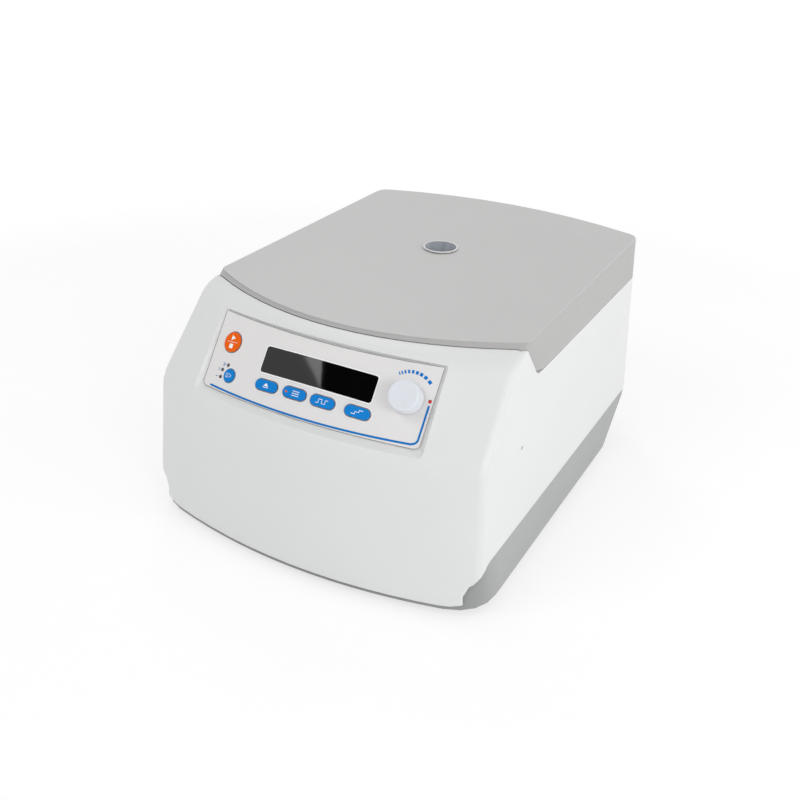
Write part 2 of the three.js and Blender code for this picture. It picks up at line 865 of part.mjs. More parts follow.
const stemTopHeight = gap + foilThickness;
const keyLow = gap / 3 + foilThickness + gap;

// Height above the local bed of a plane at a depth behind the middle of the bed
function heightOver(depth, x) {
  return (bedBend - depth) / Math.cos(x / bedBend) - bedBend;
}

function holeRadiusOf(place) {
  if (lamps.includes(place)) return lampRadius + 2 * gap;
  return place === knob ? encoderBushRadius + 2 * gap : keyStemRadius + 2 * gap;
}

function panelOpenings() {
  const through = (radius, { x, s }) => moved(rod(radius, -recessReach, recessReach, tinySteps), x, s, 0);
  const ledge = 2 * displayLedge;
  const window = roundRectangle(display.x, display.s, display.width - ledge, display.height - ledge,
    windowRound, 1);
  return [
    plate(window, -recessReach, recessReach),
    ...[...roundKeys, ...pillKeys, ...lamps, knob].map((place) => through(holeRadiusOf(place), place)),
  ];
}

function bedCutter() {
  const low = foilOutline(foilMargin, foilMargin, foilMargin);
  const high = foilOutline(
    foilMargin + recessReach * recessSideRunShare,
    foilMargin + recessReach * recessLowRunShare,
    foilMargin + recessReach * recessHighRunShare,
  );
  const recess = ringSolid([low.map(([x, s]) => [x, s, 0]), high.map(([x, s]) => [x, s, recessReach])]);
  return inBodyFrame(bent(join(recess, ...panelOpenings())));
}

function bedBlock() {
  const outline = foilOutline(bedBlockMargin, bedBlockMargin, gap + bedWall);
  return inBodyFrame(bent(plate(outline, -bedWall, recessReach)));
}

function boardPlaces() {
  const places = [];
  for (const x of [boardLeft + boardPostInset, boardRight - boardPostInset]) {
    for (const side of [-1, 1]) {
      places.push([x, side * (boardHalfHeight - boardPostInset)]);
    }
  }
  return places;
}

function boardPosts() {
  return boardPlaces().map(([x, s]) => {
    const bedDepth = bedBend - Math.sqrt(bedBend ** 2 - x ** 2);
    const post = rod(boardPostRadius, gap - boardDepth, -bedDepth - bedWall / 2, tinySteps);
    return inBodyFrame(moved(post, x, s, 0));
  });
}

// Cover and base

function rearPocketBlock() {
  const low = pocketLow - pocketMargin;
  const high = pocketHigh + pocketMargin;
  const half = pocketHalfWidth + pocketMargin;
  return box(-half, half, pocketSetback - wall, bodyDepth + overrun, low, high);
}

function rearPocket() {
  const behind = bodyDepth + overrun;
  const front = pocketSetback - wall - overrun;
  const halfInletWidth = inlet.width / 2 + gap;
  const halfInletHeight = inlet.height / 2 + gap;
  const halfSwitchWidth = switchBodyWidth / 2 + gap;
  const halfSwitchHeight = switchBodyHeight / 2 + gap;
  return [
    box(-pocketHalfWidth, pocketHalfWidth, pocketSetback, behind, pocketLow, pocketHigh),
    box(inlet.x - halfInletWidth, inlet.x + halfInletWidth, front, behind,
      powerLevel - halfInletHeight, powerLevel + halfInletHeight),
    box(rockerX - halfSwitchWidth, rockerX + halfSwitchWidth, front, behind,
      powerLevel - halfSwitchHeight, powerLevel + halfSwitchHeight),
  ];
}

function vents() {
  const slots = [];
  const ventStart = pocketHalfWidth + ventPocketMargin;
  const ventCount = 1 + Math.floor((footHalfWidth - ventSideMargin - ventStart) / ventPitch);
  for (let i = 0; i < ventCount; i += 1) {
    for (const side of [-1, 1]) {
      const x = side * (ventStart + ventPitch * i);
      const half = ventWidth / 2;
      slots.push(box(x - half, x + half, bodyDepth - 2 * rearBow, bodyDepth + overrun, ventLow, ventHigh));
    }
  }
  return slots;
}

function releaseBoss() {
  const innerWall = footHalfWidth - sideDraftShare * releaseLevel - wall / 2;
  const left = innerWall - releaseBossLength;
  return rodAlongX(releaseBossRadius, left, innerWall, lockSetback, releaseLevel, tinySteps);
}

function releaseBore() {
  const outside = footHalfWidth + overrun;
  const innerWall = footHalfWidth - sideDraftShare * releaseLevel - wall;
  return join(
    rodAlongX(releaseHoleRadius, innerWall - overrun, outside, lockSetback, releaseLevel, tinySteps),
    rodAlongX(releaseRodRadius + boltClearance, 0, innerWall, lockSetback, releaseLevel, tinySteps),
  );
}

// Outline of the hole for the deck plate, round the rotor axis
function deckOutline(inset) {
  const width = 2 * (deckHalfWidth - inset);
  return roundRectangle(0, 0, width, width, deckCornerRound - inset, outsideSteps.corner);
}

function deckPlate() {
  const low = deckUnderside - gap - deckEarSheet;
  const halfWidth = deckHalfWidth + deckEarWidth;
  const halfLength = deckEarLength / 2;
  const hole = rod(bowlRadius + bowlSheet + boltClearance, low - overrun, deckLevel + overrun, wideSteps);
  return cut(join(
    plate(deckOutline(gap), low, deckLevel),
    box(-halfWidth, halfWidth, -halfLength, halfLength, low, low + deckEarSheet),
  ), hole);
}

function housingCover() {
  const outside = cut(form(0, outsideSteps), lidRegion(0, deckLevel, aboveLid, splitLowRound, 0));
  const inside = cut(form(wall, insideSteps), lidRegion(wall, deckUnderside, aboveLid, splitLowRound, 0));
  const thickened = join(
    cut(outside, inside),
    shared(bedBlock(), outside),
    shared(rearPocketBlock(), outside),
    releaseBoss(),
    ...boardPosts(),
  );
  const low = deckUnderside - overrun;
  const high = deckLevel + overrun;
  const halfWidth = slotWidth / 2;
  const halfLength = slotLength / 2;
  const deckHole = plate(deckOutline(0), low, high);
  const tongueSlot = moved(box(-halfWidth, halfWidth, -halfLength, halfLength, low, high), 0, lockSetback, 0);
  return cut(
    thickened,
    belowParting(0),
    moved(deckHole, 0, rotorSetback, 0),
    tongueSlot,
    bedCutter(),
    releaseBore(),
    ...rearPocket(),
    ...vents(),
  );
}

function footPlaces() {
  return [
    ['foot_front_left', -footSpread, footFront],
    ['foot_front_right', footSpread, footFront],
    ['foot_rear_left', -footSpread, footRear],
    ['foot_rear_right', footSpread, footRear],
  ];
}

function drivePosts() {
  const posts = [];
  for (const x of [driveBoard.left + drivePostInset, driveBoard.right - drivePostInset]) {
    for (const y of [driveBoard.front + drivePostInset, driveBoard.rear - drivePostInset]) {
      posts.push(moved(rod(drivePostRadius, baseFloor / 2, driveBoard.level - gap, tinySteps), x, y, 0));
    }
  }
  return posts;
}

function baseTray() {
  const outside = shared(form(baseInset, outsideSteps, baseCornerRound), belowParting(seam / 2));
  const lowest = box(-bodyDepth, bodyDepth, -overrun, bodyDepth + overrun, -overrun, baseFloor);
  const inside = cut(form(baseInset + baseWall, insideSteps, baseCornerRound), lowest);
  const stemHoles = footPlaces().map(([, x, y]) => (
    moved(rod(footStemRadius + gap, -overrun, baseFloor + overrun, tinySteps), x, y, 0)));
  return cut(join(cut(outside, inside), ...drivePosts()), ...stemHoles);
}

function rubberFoot() {
  const edge = gap * 4;
  return turned([
    [0, -footHeight],
    [footRadius - edge, -footHeight],
    [footRadius, -footHeight + edge],
    [footRadius, -gap],
    [footStemRadius, -gap],
    [footStemRadius, baseFloor - gap],
    [0, baseFloor - gap],
  ], smallSteps);
}

// Lid

function linerBosses() {
  const bosses = [];
  for (const x of [-linerBossSpread, linerBossSpread]) {
    for (const y of [linerBossFront, linerBossRear]) {
      const low = linerLevel + linerSheet + gap;
      const boss = moved(rod(linerBossRadius, low, aboveLid, tinySteps), x, y, 0);
      bosses.push(shared(boss, form(wall / 2, insideSteps)));
    }
  }
  return bosses;
}

function lidShell() {
  const outer = lidRegion(-seam, deckLevel + seam, aboveLid, splitLowRound, lidEndRun);
  const inner = lidRegion(-seam - wall, deckLevel - overrun, aboveLid, 0, 0);
  const outside = shared(form(0, outsideSteps), outer);
  const inside = shared(form(wall, insideSteps), inner);
  const portHole = rod(portTubeRadius + gap, linerLevel, aboveLid, roundSteps);
  return cut(join(cut(outside, inside), ...linerBosses()), moved(portHole, 0, rotorSetback, 0));
}

function lidLiner() {
  const slab = lidRegion(-seam - wall - gap, linerLevel, linerLevel + linerSheet, 0, 0);
  const bore = portTubeRadius - portTubeSheet;
  const sightHole = rod(bore, linerLevel - overrun, linerLevel + overrun, roundSteps);
  return cut(shared(form(wall + gap, insideSteps), slab), moved(sightHole, 0, rotorSetback, 0));
}

const portSurface = lidPlaneLevel(rotorSetback) + lidCrown;
const portTop = portSurface + gap + portFlangeHeight;
const funnelFloor = portTop - funnelDepth;

function sightBezel() {
  const tubeBore = portTubeRadius - portTubeSheet;
  const low = linerLevel + linerSheet + gap;
  return turnedRing([
    [funnelBottomRadius, funnelFloor],
    [funnelTopRadius, portTop],
    [portRadius, portTop],
    [portRadius, portSurface + gap],
    [portTubeRadius, portSurface + gap],
    [portTubeRadius, low],
    [tubeBore, low],
    [tubeBore, funnelFloor - gap],
    [funnelBottomRadius, funnelFloor - gap],
  ], roundSteps);
}

function sightWindow() {
  const top = funnelFloor - 2 * gap;
  return rod(portTubeRadius - portTubeSheet - gap, top - portPaneThickness, top, roundSteps);
}

function lidStriker() {
  const top = linerLevel - gap;
  const halfTongue = tongueWidth / 2;
  const window = tongueWindow / 2;
  const halfThickness = tongueThickness / 2;
  const blank = join(
    box(-strikerLength / 2, strikerLength / 2, -strikerWidth / 2, strikerWidth / 2, top - strikerSheet, top),
    box(-halfThickness, halfThickness, -halfTongue, halfTongue, tongueLowLevel, top - strikerSheet / 2),
  );
  const opening = box(-overrun, overrun, -window, window, boltLevel - window, boltLevel + window);
  return cut(blank, opening);
}

// Hinge pieces are drawn round the hinge axis, which runs along x

function knuckle(low, high) {
  return rodAlongX(knuckleRadius, low, high, 0, 0, smallSteps);
}

function hingeBase(bodyForm) {
  const half = hingeWidth / 2;
  const leafRear = -hingeLeafDepth + knuckleRadius / 2;
  const leafFront = leafRear - 2 * hingeLeafDepth;
  const leafTop = -hingeLeafOffset;
  const leafLow = leafTop - hingeBaseHeight;
  const halfMiddle = middleKnuckleWidth / 2;
  const web = [
    [leafFront, leafTop - hingeWebDrop],
    [leafRear, leafTop - hingeWebDrop],
    [knuckleRadius, -gap],
    [-knuckleRadius, -gap],
    [leafFront, leafTop],
  ];
  const blank = join(
    box(-half, half, leafFront, leafRear, leafLow, leafTop),
    sidePlate(web, -halfMiddle, halfMiddle),
    knuckle(-halfMiddle, halfMiddle),
  );
  const halfPin = hingePinLength / 2;
  return join(cut(blank, bodyForm), rodAlongX(hingePinRadius, -halfPin, halfPin, 0, 0, smallSteps));
}

function hingeArm(bodyForm) {
  const half = hingeWidth / 2;
  const leafRear = -hingeLeafDepth;
  const leafFront = leafRear - 2 * hingeLeafDepth;
  const leafLow = hingeLeafOffset;
  const leafTop = leafLow + hingeArmHeight;
  const inner = middleKnuckleWidth / 2 + gap;
  const web = [
    [-knuckleRadius, gap],
    [knuckleRadius, gap],
    [leafRear, leafLow + hingeWebDrop],
    [leafFront, leafLow + hingeWebDrop],
    [leafFront, leafLow],
    [leafRear, leafLow],
  ];
  const sides = [[-half, -inner], [inner, half]];
  const blank = join(
    box(-half, half, leafFront, leafRear, leafLow, leafTop),
    ...sides.flatMap(([low, high]) => [sidePlate(web, low, high), knuckle(low, high)]),
  );
  return cut(blank, bodyForm, rodAlongX(hingePinRadius + gap, -half, half, 0, 0, smallSteps));
}

// Chamber, drawn round the rotor axis: a flanged wall on the turned-up rim of a pressed floor

function bowlCorner(radius, floor, round) {
  return curvePoints([radius - round, floor], [radius, floor], [radius, floor + round], cornerSteps);
}

function chamberWall() {
  const low = bowlFloorLevel + bowlCornerRound + gap;
  const rim = deckLevel + gap;
  const outer = bowlRadius + bowlSheet;
  const flange = bowlRadius + bowlFlangeWidth;
  return turnedRing([
    [outer, low],
    [outer, rim],
    [flange, rim],
    [flange, rim + bowlSheet],
    [bowlRadius, rim + bowlSheet],
    [bowlRadius, low],
  ], wideSteps);
}

function chamberFloor() {
  const low = bowlFloorLevel;
  return turnedRing([
    [motorHoleRadius, low],
    ...bowlCorner(bowlRadius + bowlSheet, low, bowlCornerRound),
    ...bowlCorner(bowlRadius, low + bowlSheet, bowlCornerRound - bowlSheet).reverse(),
    [motorHoleRadius + bowlSheet, low + bowlSheet],
    [motorHoleRadius + bowlSheet, low + bowlSheet + collarHeight],
    [motorHoleRadius, low + bowlSheet + collarHeight],
  ], wideSteps);
}

function bowlGasket() {
  const low = deckLevel + gap + bowlSheet + gap;
  const inner = bowlRadius + bowlSheet;
  return turnedRing([
    [inner, low],
    [inner + gasketWidth, low],
    [inner + gasketWidth, low + gasketHeight / 2],
    [inner + gasketWidth / 2, low + gasketHeight],
    [inner, low + gasketHeight / 2],
  ], wideSteps);
}

function motorBoot() {
  const low = bowlFloorLevel + bowlSheet + gap;
  const inner = motorHoleRadius + bowlSheet + 2 * gap;
  const shoulder = motorHoleRadius - bowlSheet;
  const lip = low + collarHeight + bootSheet;
  const neck = shaftRadius + 2 * bootSheet;
  return turnedRing([
    [inner, low],
    [inner, lip],
    [shoulder, bootShoulderLevel],
    [neck, bootTopLevel],
    [neck, bootTopLevel + bootSheet],
    [shoulder + bootSheet, bootShoulderLevel + bootSheet],
    [inner + bootSheet, lip + bootSheet],
    [inner + bootSheet, low],
  ], roundSteps);
}

const motorPlateLevel = baseFloor + gap + damperHeight + gap;
const motorLevel = motorPlateLevel + motorPlateSheet + gap;
const motorTop = motorLevel + motorHeight + motorBossHeight;
const shaftLevel = motorTop - shaftSocketDepth + gap;

function motorBody() {
  const shell = motorLevel + motorHeight;
  const blank = turned([
    [0, motorLevel],
    [motorRadius, motorLevel],
    [motorRadius, shell],
    [motorBossRadius, shell],
    [motorBossRadius, motorTop],
    [0, motorTop],
  ], roundSteps);
  const socketFloor = motorTop - shaftSocketDepth;
  return cut(blank, rod(shaftRadius + boltClearance, socketFloor, motorTop + overrun, smallSteps));
}

function motorPlate() {
  const high = motorPlateLevel + motorPlateSheet;
  return turnedRing([
    [motorPlateHole, motorPlateLevel],
    [motorPlateRadius, motorPlateLevel],
    [motorPlateRadius, high],
    [motorPlateHole, high],
  ], roundSteps);
}

function motorDamper() {
  const low = baseFloor + gap;
  return rod(damperRadius, low, low + damperHeight, smallSteps);
}

// Rotor: a dish whose cone stands square to the tube axes

const tiltSlope = Math.tan(rad(tubeTilt));
const dishLevel = (radius) => seatLevel + (radius - seatRadius) * tiltSlope;
const underLevel = (radius) => dishLevel(radius) - dishThickness / Math.cos(rad(tubeTilt));
const hubTopLevel = dishLevel(dishInnerRadius);

function ontoSeat(geometry, number) {
  const tilted = geometry.clone().rotateY(-rad(tubeTilt)).translate(seatRadius, 0, seatLevel);
  return tilted.rotateZ(2 * Math.PI * number / tubeCount);
}

function rotorHead() {
  const bore = shaftRadius + gap;
  const web = hubRadius + bore;
  const rim = dishOuterRadius + rimWidth;
  const underRim = dishOuterRadius + rimWidth / 2;
  const blank = turnedRing([
    [bore, hubBottomLevel],
    [hubRadius, hubBottomLevel],
    [web, underLevel(web)],
    [underRim, underLevel(underRim)],
    [rim, dishLevel(dishOuterRadius) - rimDrop],
    [rim - rimWidth / 4, dishLevel(dishOuterRadius) - rimDrop / 4],
    [dishOuterRadius, dishLevel(dishOuterRadius)],
    [dishInnerRadius, hubTopLevel],
    [bore, hubTopLevel],
  ], rotorSteps);
  const holeRadius = sleeveRadius + gap;
  const seat = holeRadius + sleeveCollarWidth;
  const hole = turned([
    [0, -dishThickness - overrun],
    [holeRadius, -dishThickness - overrun],
    [holeRadius, 0],
    [seat, 0],
    [seat, overrun],
    [0, overrun],
  ], smallSteps);
  return cut(blank, ...Array.from({ length: tubeCount }, (_, i) => ontoSeat(hole, i)));
}

function tubeSleeve() {
  const outer = sleeveRadius;
  const endLevel = -sleeveDepth;
  return turned([
    [0, endLevel],
    [outer - sleeveEndRound, endLevel + sleeveSheet / 2],
    [outer, endLevel + sleeveEndRound],
    [outer, gap],
    [outer + sleeveCollarWidth, gap],
    [outer + sleeveCollarWidth, gap + sleeveCollarHeight],
    [sleeveBore, gap + sleeveCollarHeight],
    [sleeveBore, endLevel + sleeveEndRound + sleeveSheet],
    [sleeveBore - sleeveEndRound, endLevel + 2 * sleeveSheet],
    [0, endLevel + sleeveSheet],
  ], sleeveSteps);
}

function rotorNut() {
  const low = hubTopLevel + gap;
  const bore = shaftRadius + gap;
  const socket = shaftLevel + shaftLength + gap;
  return turned([
    [0, socket],
    [bore, socket],
    [bore, low],
    [nutRadius, low],
    [nutRadius, low + nutShoulder],
    [nutTopRadius, low + nutHeight - nutCap / 2],
    [0, low + nutHeight],
  ], smallSteps);
}

// Lid lock, drawn round the line of its bolt in x and round lockSetback in y

const lockPlateTop = deckUnderside - gap;
const lockPlateLevel = lockPlateTop - lockSheet;

function lockFrame() {
  const halfPlate = lockPlateWidth / 2;
  const halfCheek = lockCheekWidth / 2;
  const far = lockCheekInside + lockSheet;
  const cheekTop = lockPlateLevel + lockSheet / 2;
  const blank = join(
    box(lockPlateLeft, lockPlateRight, -halfPlate, halfPlate, lockPlateLevel, lockPlateTop),
    box(-far, -lockCheekInside, -halfCheek, halfCheek, lockCheekLowLevel, cheekTop),
    box(lockCheekInside, far, -halfCheek, halfCheek, lockCheekLowLevel, cheekTop),
  );
  const halfWidth = slotWidth / 2;
  const halfLength = slotLength / 2;
  const slot = box(-halfWidth, halfWidth, -halfLength, halfLength, lockCheekLowLevel, deckLevel);
  return cut(blank, slot, rodAlongX(boltRadius + boltClearance, -2 * far, 2 * far, 0, boltLevel, smallSteps));
}

function lockSlider() {
  const right = sliderLeft + lockSheet;
  const tip = -tongueThickness / 2 - boltClearance * 4;
  return join(
    box(sliderLeft, right, -sliderWidth / 2, sliderWidth / 2, sliderLowLevel, sliderHighLevel),
    rodAlongX(boltRadius, sliderLeft + lockSheet / 2, tip, 0, boltLevel, smallSteps),
  );
}

function solenoidBody() {
  const top = lockPlateLevel - gap;
  const low = 2 * boltLevel - top;
  const half = solenoidWidth / 2;
  const blank = box(solenoidRight - solenoidLength, solenoidRight, -half, half, low, top);
  const left = solenoidRight - solenoidBoreDepth;
  const right = solenoidRight + overrun;
  return cut(blank, rodAlongX(plungerRadius + boltClearance, left, right, 0, boltLevel, smallSteps));
}

function solenoidPlunger() {
  const right = sliderLeft - gap;
  return rodAlongX(plungerRadius, right - plungerLength, right, 0, boltLevel, smallSteps);
}

function releaseRod() {
  const left = sliderLeft + lockSheet + gap;
  const innerWall = footHalfWidth - sideDraftShare * releaseLevel - wall;
  const right = innerWall - gap * 4 - boltTravel;
  return rodAlongX(releaseRodRadius, left, right, 0, releaseLevel, tinySteps);
}

// Control panel pieces

function panelFoil() {
  const blank = plate(foilOutline(0, 0, 0), gap, gap + foilThickness);
  const opening = (outline) => plate(outline, -overrun, overrun);
  const pane = roundRectangle(display.x, display.s, display.width + 2 * gap, display.height + 2 * gap,
    display.cornerRound + gap, cornerSteps);
  const round = (radius, { x, s }) => moved(rod(radius, -overrun, overrun, smallSteps), x, s, 0);
  const pill = ({ x, s }) => opening(roundRectangle(x, s, pillWidth + 2 * gap, pillHeight + 2 * gap,
    pillHeight / 2 + gap - weld, cornerSteps));
  return bent(cut(
    blank,
    opening(pane),
    ...roundKeys.map((key) => round(key.radius + gap, key)),
    ...pillKeys.map(pill),
    ...lamps.map((lamp) => round(lampRadius + gap, lamp)),
    round(encoderBushRadius + gap, knob),
  ));
}

function displayWindow() {
  const { x, s, width, height, cornerRound } = display;
  return bent(plate(roundRectangle(x, s, width, height, cornerRound, cornerSteps), gap, gap + paneThickness));
}

function stemLevel(x) {
  return heightOver(boardDepth - switchHeight, x) + gap + keyTravel;
}

function roundKey(key) {
  const top = keyLow + keyThickness;
  return turned([
    [0, stemLevel(key.x)],
    [keyStemRadius, stemLevel(key.x)],
    [keyStemRadius, keyLow],
    [key.radius, keyLow],
    [key.radius, top - keyRim],
    [key.radius - keyRim, top],
    [0, top],
  ], smallSteps);
}

function pillKey(key) {
  const top = keyLow + keyThickness;
  const outline = (inset) => roundRectangle(0, 0, pillWidth - 2 * inset, pillHeight - 2 * inset,
    pillHeight / 2 - inset - weld, cornerSteps);
  const cap = ringSolid([
    outline(0).map(([x, s]) => [x, s, keyLow]),
    outline(0).map(([x, s]) => [x, s, top - keyRim]),
    outline(keyRim).map(([x, s]) => [x, s, top]),
  ]);
  return join(cap, rod(keyStemRadius, stemLevel(key.x), keyLow + keyRim, tinySteps));
}

function lampLens() {
  const top = gap + foilThickness + lampDome;
  return turned([
    [0, top - lampHeight],
    [lampRadius, top - lampHeight],
    [lampRadius, top - lampDome],
    [lampRadius / 2, top],
    [0, top],
  ], tinySteps);
}

function turningKnob() {
  const low = stemTopHeight + knobFloat;
  const top = low + knob.height;
  const bore = encoderShaftRadius + gap;
  return turned([
    [0, low + knobBoreDepth],
    [bore, low + knobBoreDepth],
    [bore, low + knobRecessDepth],
    [knobRecessRadius, low + knobRecessDepth],
    [knobRecessRadius, low],
    [knob.footRadius, low],
    [knob.topRadius, top - knob.edgeRound],
    [knob.topRadius - knob.edgeRound, top],
    [0, top],
  ], roundSteps);
}

function knobEncoder() {
  const bodyTop = -bedWall - gap;
  const half = encoderWidth / 2;
  const shaftTop = stemTopHeight + knobFloat + knobBoreDepth - gap;
  const bushTop = stemTopHeight + knobFloat + knobRecessDepth - gap;
  return join(
    box(-half, half, -half, half, bodyTop - encoderDepth, bodyTop),
    rod(encoderBushRadius, bodyTop - gap, bushTop, tinySteps),
    rod(encoderShaftRadius, bodyTop - gap, shaftTop, tinySteps),
  );
}

function controlBoard() {
  const face = -boardDepth;
  const half = switchSize / 2;
  const module = {
    halfWidth: display.width / 2 - displayModuleMargin,
    halfHeight: display.height / 2,
  };
  const switches = [...roundKeys, ...pillKeys].map(({ x, s }) => {
    const middle = (bedBend - boardDepth + switchHeight) * Math.tan(x / bedBend);
    return box(middle - half, middle + half, s - half, s + half, face - gap, face + switchHeight);
  });
  return join(
    box(boardLeft, boardRight, -boardHalfHeight, boardHalfHeight, face - boardSheet, face),
    box(display.x - module.halfWidth, display.x + module.halfWidth, display.s - module.halfHeight,
      display.s + module.halfHeight, face - gap, face + displayModuleDepth),
    ...switches,
  );
}

// Rear power pieces

function powerInlet() {
  const face = pocketSetback + gap + inletFlange.sheet;
  const halfFlange = inletFlange.width / 2;
  const halfFlangeHeight = inletFlange.height / 2;
  const halfWidth = inlet.width / 2;
  const halfHeight = inlet.height / 2;
  const halfCavity = inletCavityWidth / 2;
  const halfCavityHeight = inletCavityHeight / 2;
  const cavityFloor = face - inletCavityDepth;
  const blank = join(
    box(-halfFlange, halfFlange, pocketSetback + gap, face, -halfFlangeHeight, halfFlangeHeight),
    box(-halfWidth, halfWidth, face - inlet.depth, face - gap, -halfHeight, halfHeight),
  );
  const cavityOutline = [
    [-halfCavity, -halfCavityHeight],
    [halfCavity, -halfCavityHeight],
    [halfCavity, halfCavityHeight - inletCavityCut],
    [halfCavity - inletCavityCut, halfCavityHeight],
    [inletCavityCut - halfCavity, halfCavityHeight],
    [-halfCavity, halfCavityHeight - inletCavityCut],
  ];
  const cavity = closed(plate(cavityOutline, -face - overrun, -cavityFloor).rotateX(Math.PI / 2));
  const blades = [[-bladeSpread, -bladeRaise], [bladeSpread, -bladeRaise], [0, bladeRaise]].map(([x, z]) => (
    box(x - bladeWidth / 2, x + bladeWidth / 2, cavityFloor - gap, cavityFloor + bladeLength,
      z - bladeHeight / 2, z + bladeHeight / 2)));
  return join(cut(blank, cavity), ...blades);
}

const rockerPivot = pocketSetback + gap - rockerPivotDepth;

function switchFrame() {
  const face = pocketSetback + gap + switchFlangeSheet;
  const halfFlange = switchFlangeWidth / 2;
  const halfFlangeHeight = switchFlangeHeight / 2;
  const halfWidth = switchBodyWidth / 2;
  const halfHeight = switchBodyHeight / 2;
  const halfCavity = rockerWidth / 2 + gap;
  const halfCavityHeight = rockerCavityHeight / 2;
  const blank = join(
    box(-halfFlange, halfFlange, pocketSetback + gap, face, -halfFlangeHeight, halfFlangeHeight),
    box(-halfWidth, halfWidth, face - switchBodyDepth, face - gap, -halfHeight, halfHeight),
  );
  const floor = face - rockerCavityDepth;
  const pinEnd = halfCavity + rockerPinLength;
  return cut(
    blank,
    box(-halfCavity, halfCavity, floor, face + overrun, -halfCavityHeight, halfCavityHeight),
    rodAlongX(rockerPinRadius + gap, -pinEnd, pinEnd, rockerPivot, 0, tinySteps),
  );
}

// Drawn round its pivot, tilted to the rest position
function powerRocker() {
  const half = rockerHeight / 2;
  const outline = [
    [-rockerBack, -rockerBack],
    [rockerBack, -half],
    [rockerFace, -half],
    [rockerWaist, 0],
    [rockerFace, half],
    [rockerBack, half],
    [-rockerBack, rockerBack],
  ];
  const pinEnd = rockerWidth / 2 + rockerPinLength;
  const blank = join(
    sidePlate(outline, -rockerWidth / 2, rockerWidth / 2),
    rodAlongX(rockerPinRadius, -pinEnd, pinEnd, 0, 0, tinySteps),
  );
  return blank.rotateX(-rad(rockerTilt));
}

function drivePcb() {
  const { left, right, front, rear, level, sheet } = driveBoard;
  const face = level + sheet;
  const y = (front + rear) / 2;
  const block = ({ inset, width, depth, height }) => {
    const x = left + inset;
    return box(x - width / 2, x + width / 2, y - depth / 2, y + depth / 2, face - gap, face + height);
  };
  const can = rod(capacitor.radius, face - gap, face + capacitor.height, tinySteps);
  return join(
    box(left, right, front, rear, level, face),
    block(transformer),
    block(coolerPlate),
    moved(can, left + capacitor.inset, front + capacitor.frontInset, 0),
    moved(can, left + capacitor.inset, rear - capacitor.rearInset, 0),
  );
}

// Assembly

const centrifuge = new THREE.Group();
const body = new THREE.Group();
body.position.set(0, -(foremost + hingeSetback + knuckleRadius) / 2, footHeight);
centrifuge.add(body);

piece('housing_cover', housingCover(), coverWhite, body);
piece('base_tray', baseTray(), baseGrey, body);
for (const [name, x, y] of footPlaces()) {
  piece(name, rubberFoot(), rubber, body).position.set(x, y, 0);
}

piece('lid_shell', lidShell(), lidGrey, body);
piece('lid_liner', lidLiner(), steel, body);
piece('lid_striker', lidStriker(), zinc, body).position.y = lockSetback;

for (const [side, x] of [['left', -hingeSpread], ['right', hingeSpread]]) {
  const hinge = new THREE.Group();
  hinge.position.set(x, hingeSetback, hingeLevel);
  body.add(hinge);
  const bodyForm = moved(form(-gap, outsideSteps), -x, -hingeSetback, -hingeLevel);
  piece(`hinge_base_${side}`, hingeBase(bodyForm), zinc, hinge);
  piece(`hinge_arm_${side}`, hingeArm(bodyForm), zinc, hinge);
}

const chamber = new THREE.Group();
chamber.position.y = rotorSetback;
body.add(chamber);
piece('sight_bezel', sightBezel(), portGrey, chamber);
piece('sight_window', sightWindow(), paneGrey, chamber);
piece('deck_plate', deckPlate(), coverWhite, chamber);
piece('chamber_wall', chamberWall(), steel, chamber);
piece('chamber_floor', chamberFloor(), steel, chamber);
piece('bowl_gasket', bowlGasket(), gasketRubber, chamber);
piece('motor_boot', motorBoot(), rubber, chamber);
piece('motor_body', motorBody(), motorBlack, chamber);
piece('motor_plate', motorPlate(), zinc, chamber);
for (let i = 0; i < damperCount; i += 1) {
  const angle = Math.PI / 2 + 2 * Math.PI * i / damperCount;
  const damper = piece(`motor_damper_${i + 1}`, motorDamper(), rubber, chamber);
  damper.position.set(damperCircle * Math.cos(angle), damperCircle * Math.sin(angle), 0);
}
piece('rotor_shaft', rod(shaftRadius, shaftLevel, shaftLevel + shaftLength, smallSteps), steel, chamber);
piece('rotor_head', rotorHead(), aluminium, chamber);
piece('rotor_nut', rotorNut(), aluminium, chamber);
for (let i = 0; i < tubeCount; i += 1) {
  const station = new THREE.Group();
  station.rotation.z = 2 * Math.PI * i / tubeCount;
  chamber.add(station);
  const sleeve = piece(`tube_sleeve_${i + 1}`, tubeSleeve(), sleeveWhite, station);
  sleeve.position.set(seatRadius, 0, seatLevel);
  sleeve.rotation.y = -rad(tubeTilt);
}

const lock = new THREE.Group();
lock.position.y = lockSetback;
body.add(lock);
piece('lock_frame', lockFrame(), zinc, lock);
piece('lock_slider', lockSlider(), steel, lock);
piece('solenoid_body', solenoidBody(), blackPlastic, lock);
piece('solenoid_plunger', solenoidPlunger(), steel, lock);
piece('release_rod', releaseRod(), steel, lock);

const panel = toBed(new THREE.Group());
body.add(panel);
piece('panel_overlay', panelFoil(), foilPale, panel);
piece('display_window', displayWindow(), glassBlack, panel);
piece('control_board', controlBoard(), boardGreen, panel);
for (const key of roundKeys) {
  const color = key.name === 'run_key' ? keyOrange : keyBlue;
  standOnBed(piece(key.name, roundKey(key), color, panel), key.x, key.s);
}
for (const key of pillKeys) {
  standOnBed(piece(key.name, pillKey(key), keyBlue, panel), key.x, key.s);
}
for (const lamp of lamps) {
  const color = lamp.name === 'run_lamp' ? lampRed : lampDark;
  standOnBed(piece(lamp.name, lampLens(), color, panel), lamp.x, lamp.s);
}
standOnBed(piece('speed_knob', turningKnob(), knobPearl, panel), knob.x, knob.s);
standOnBed(piece('knob_encoder', knobEncoder(), blackPlastic, panel), knob.x, knob.s);

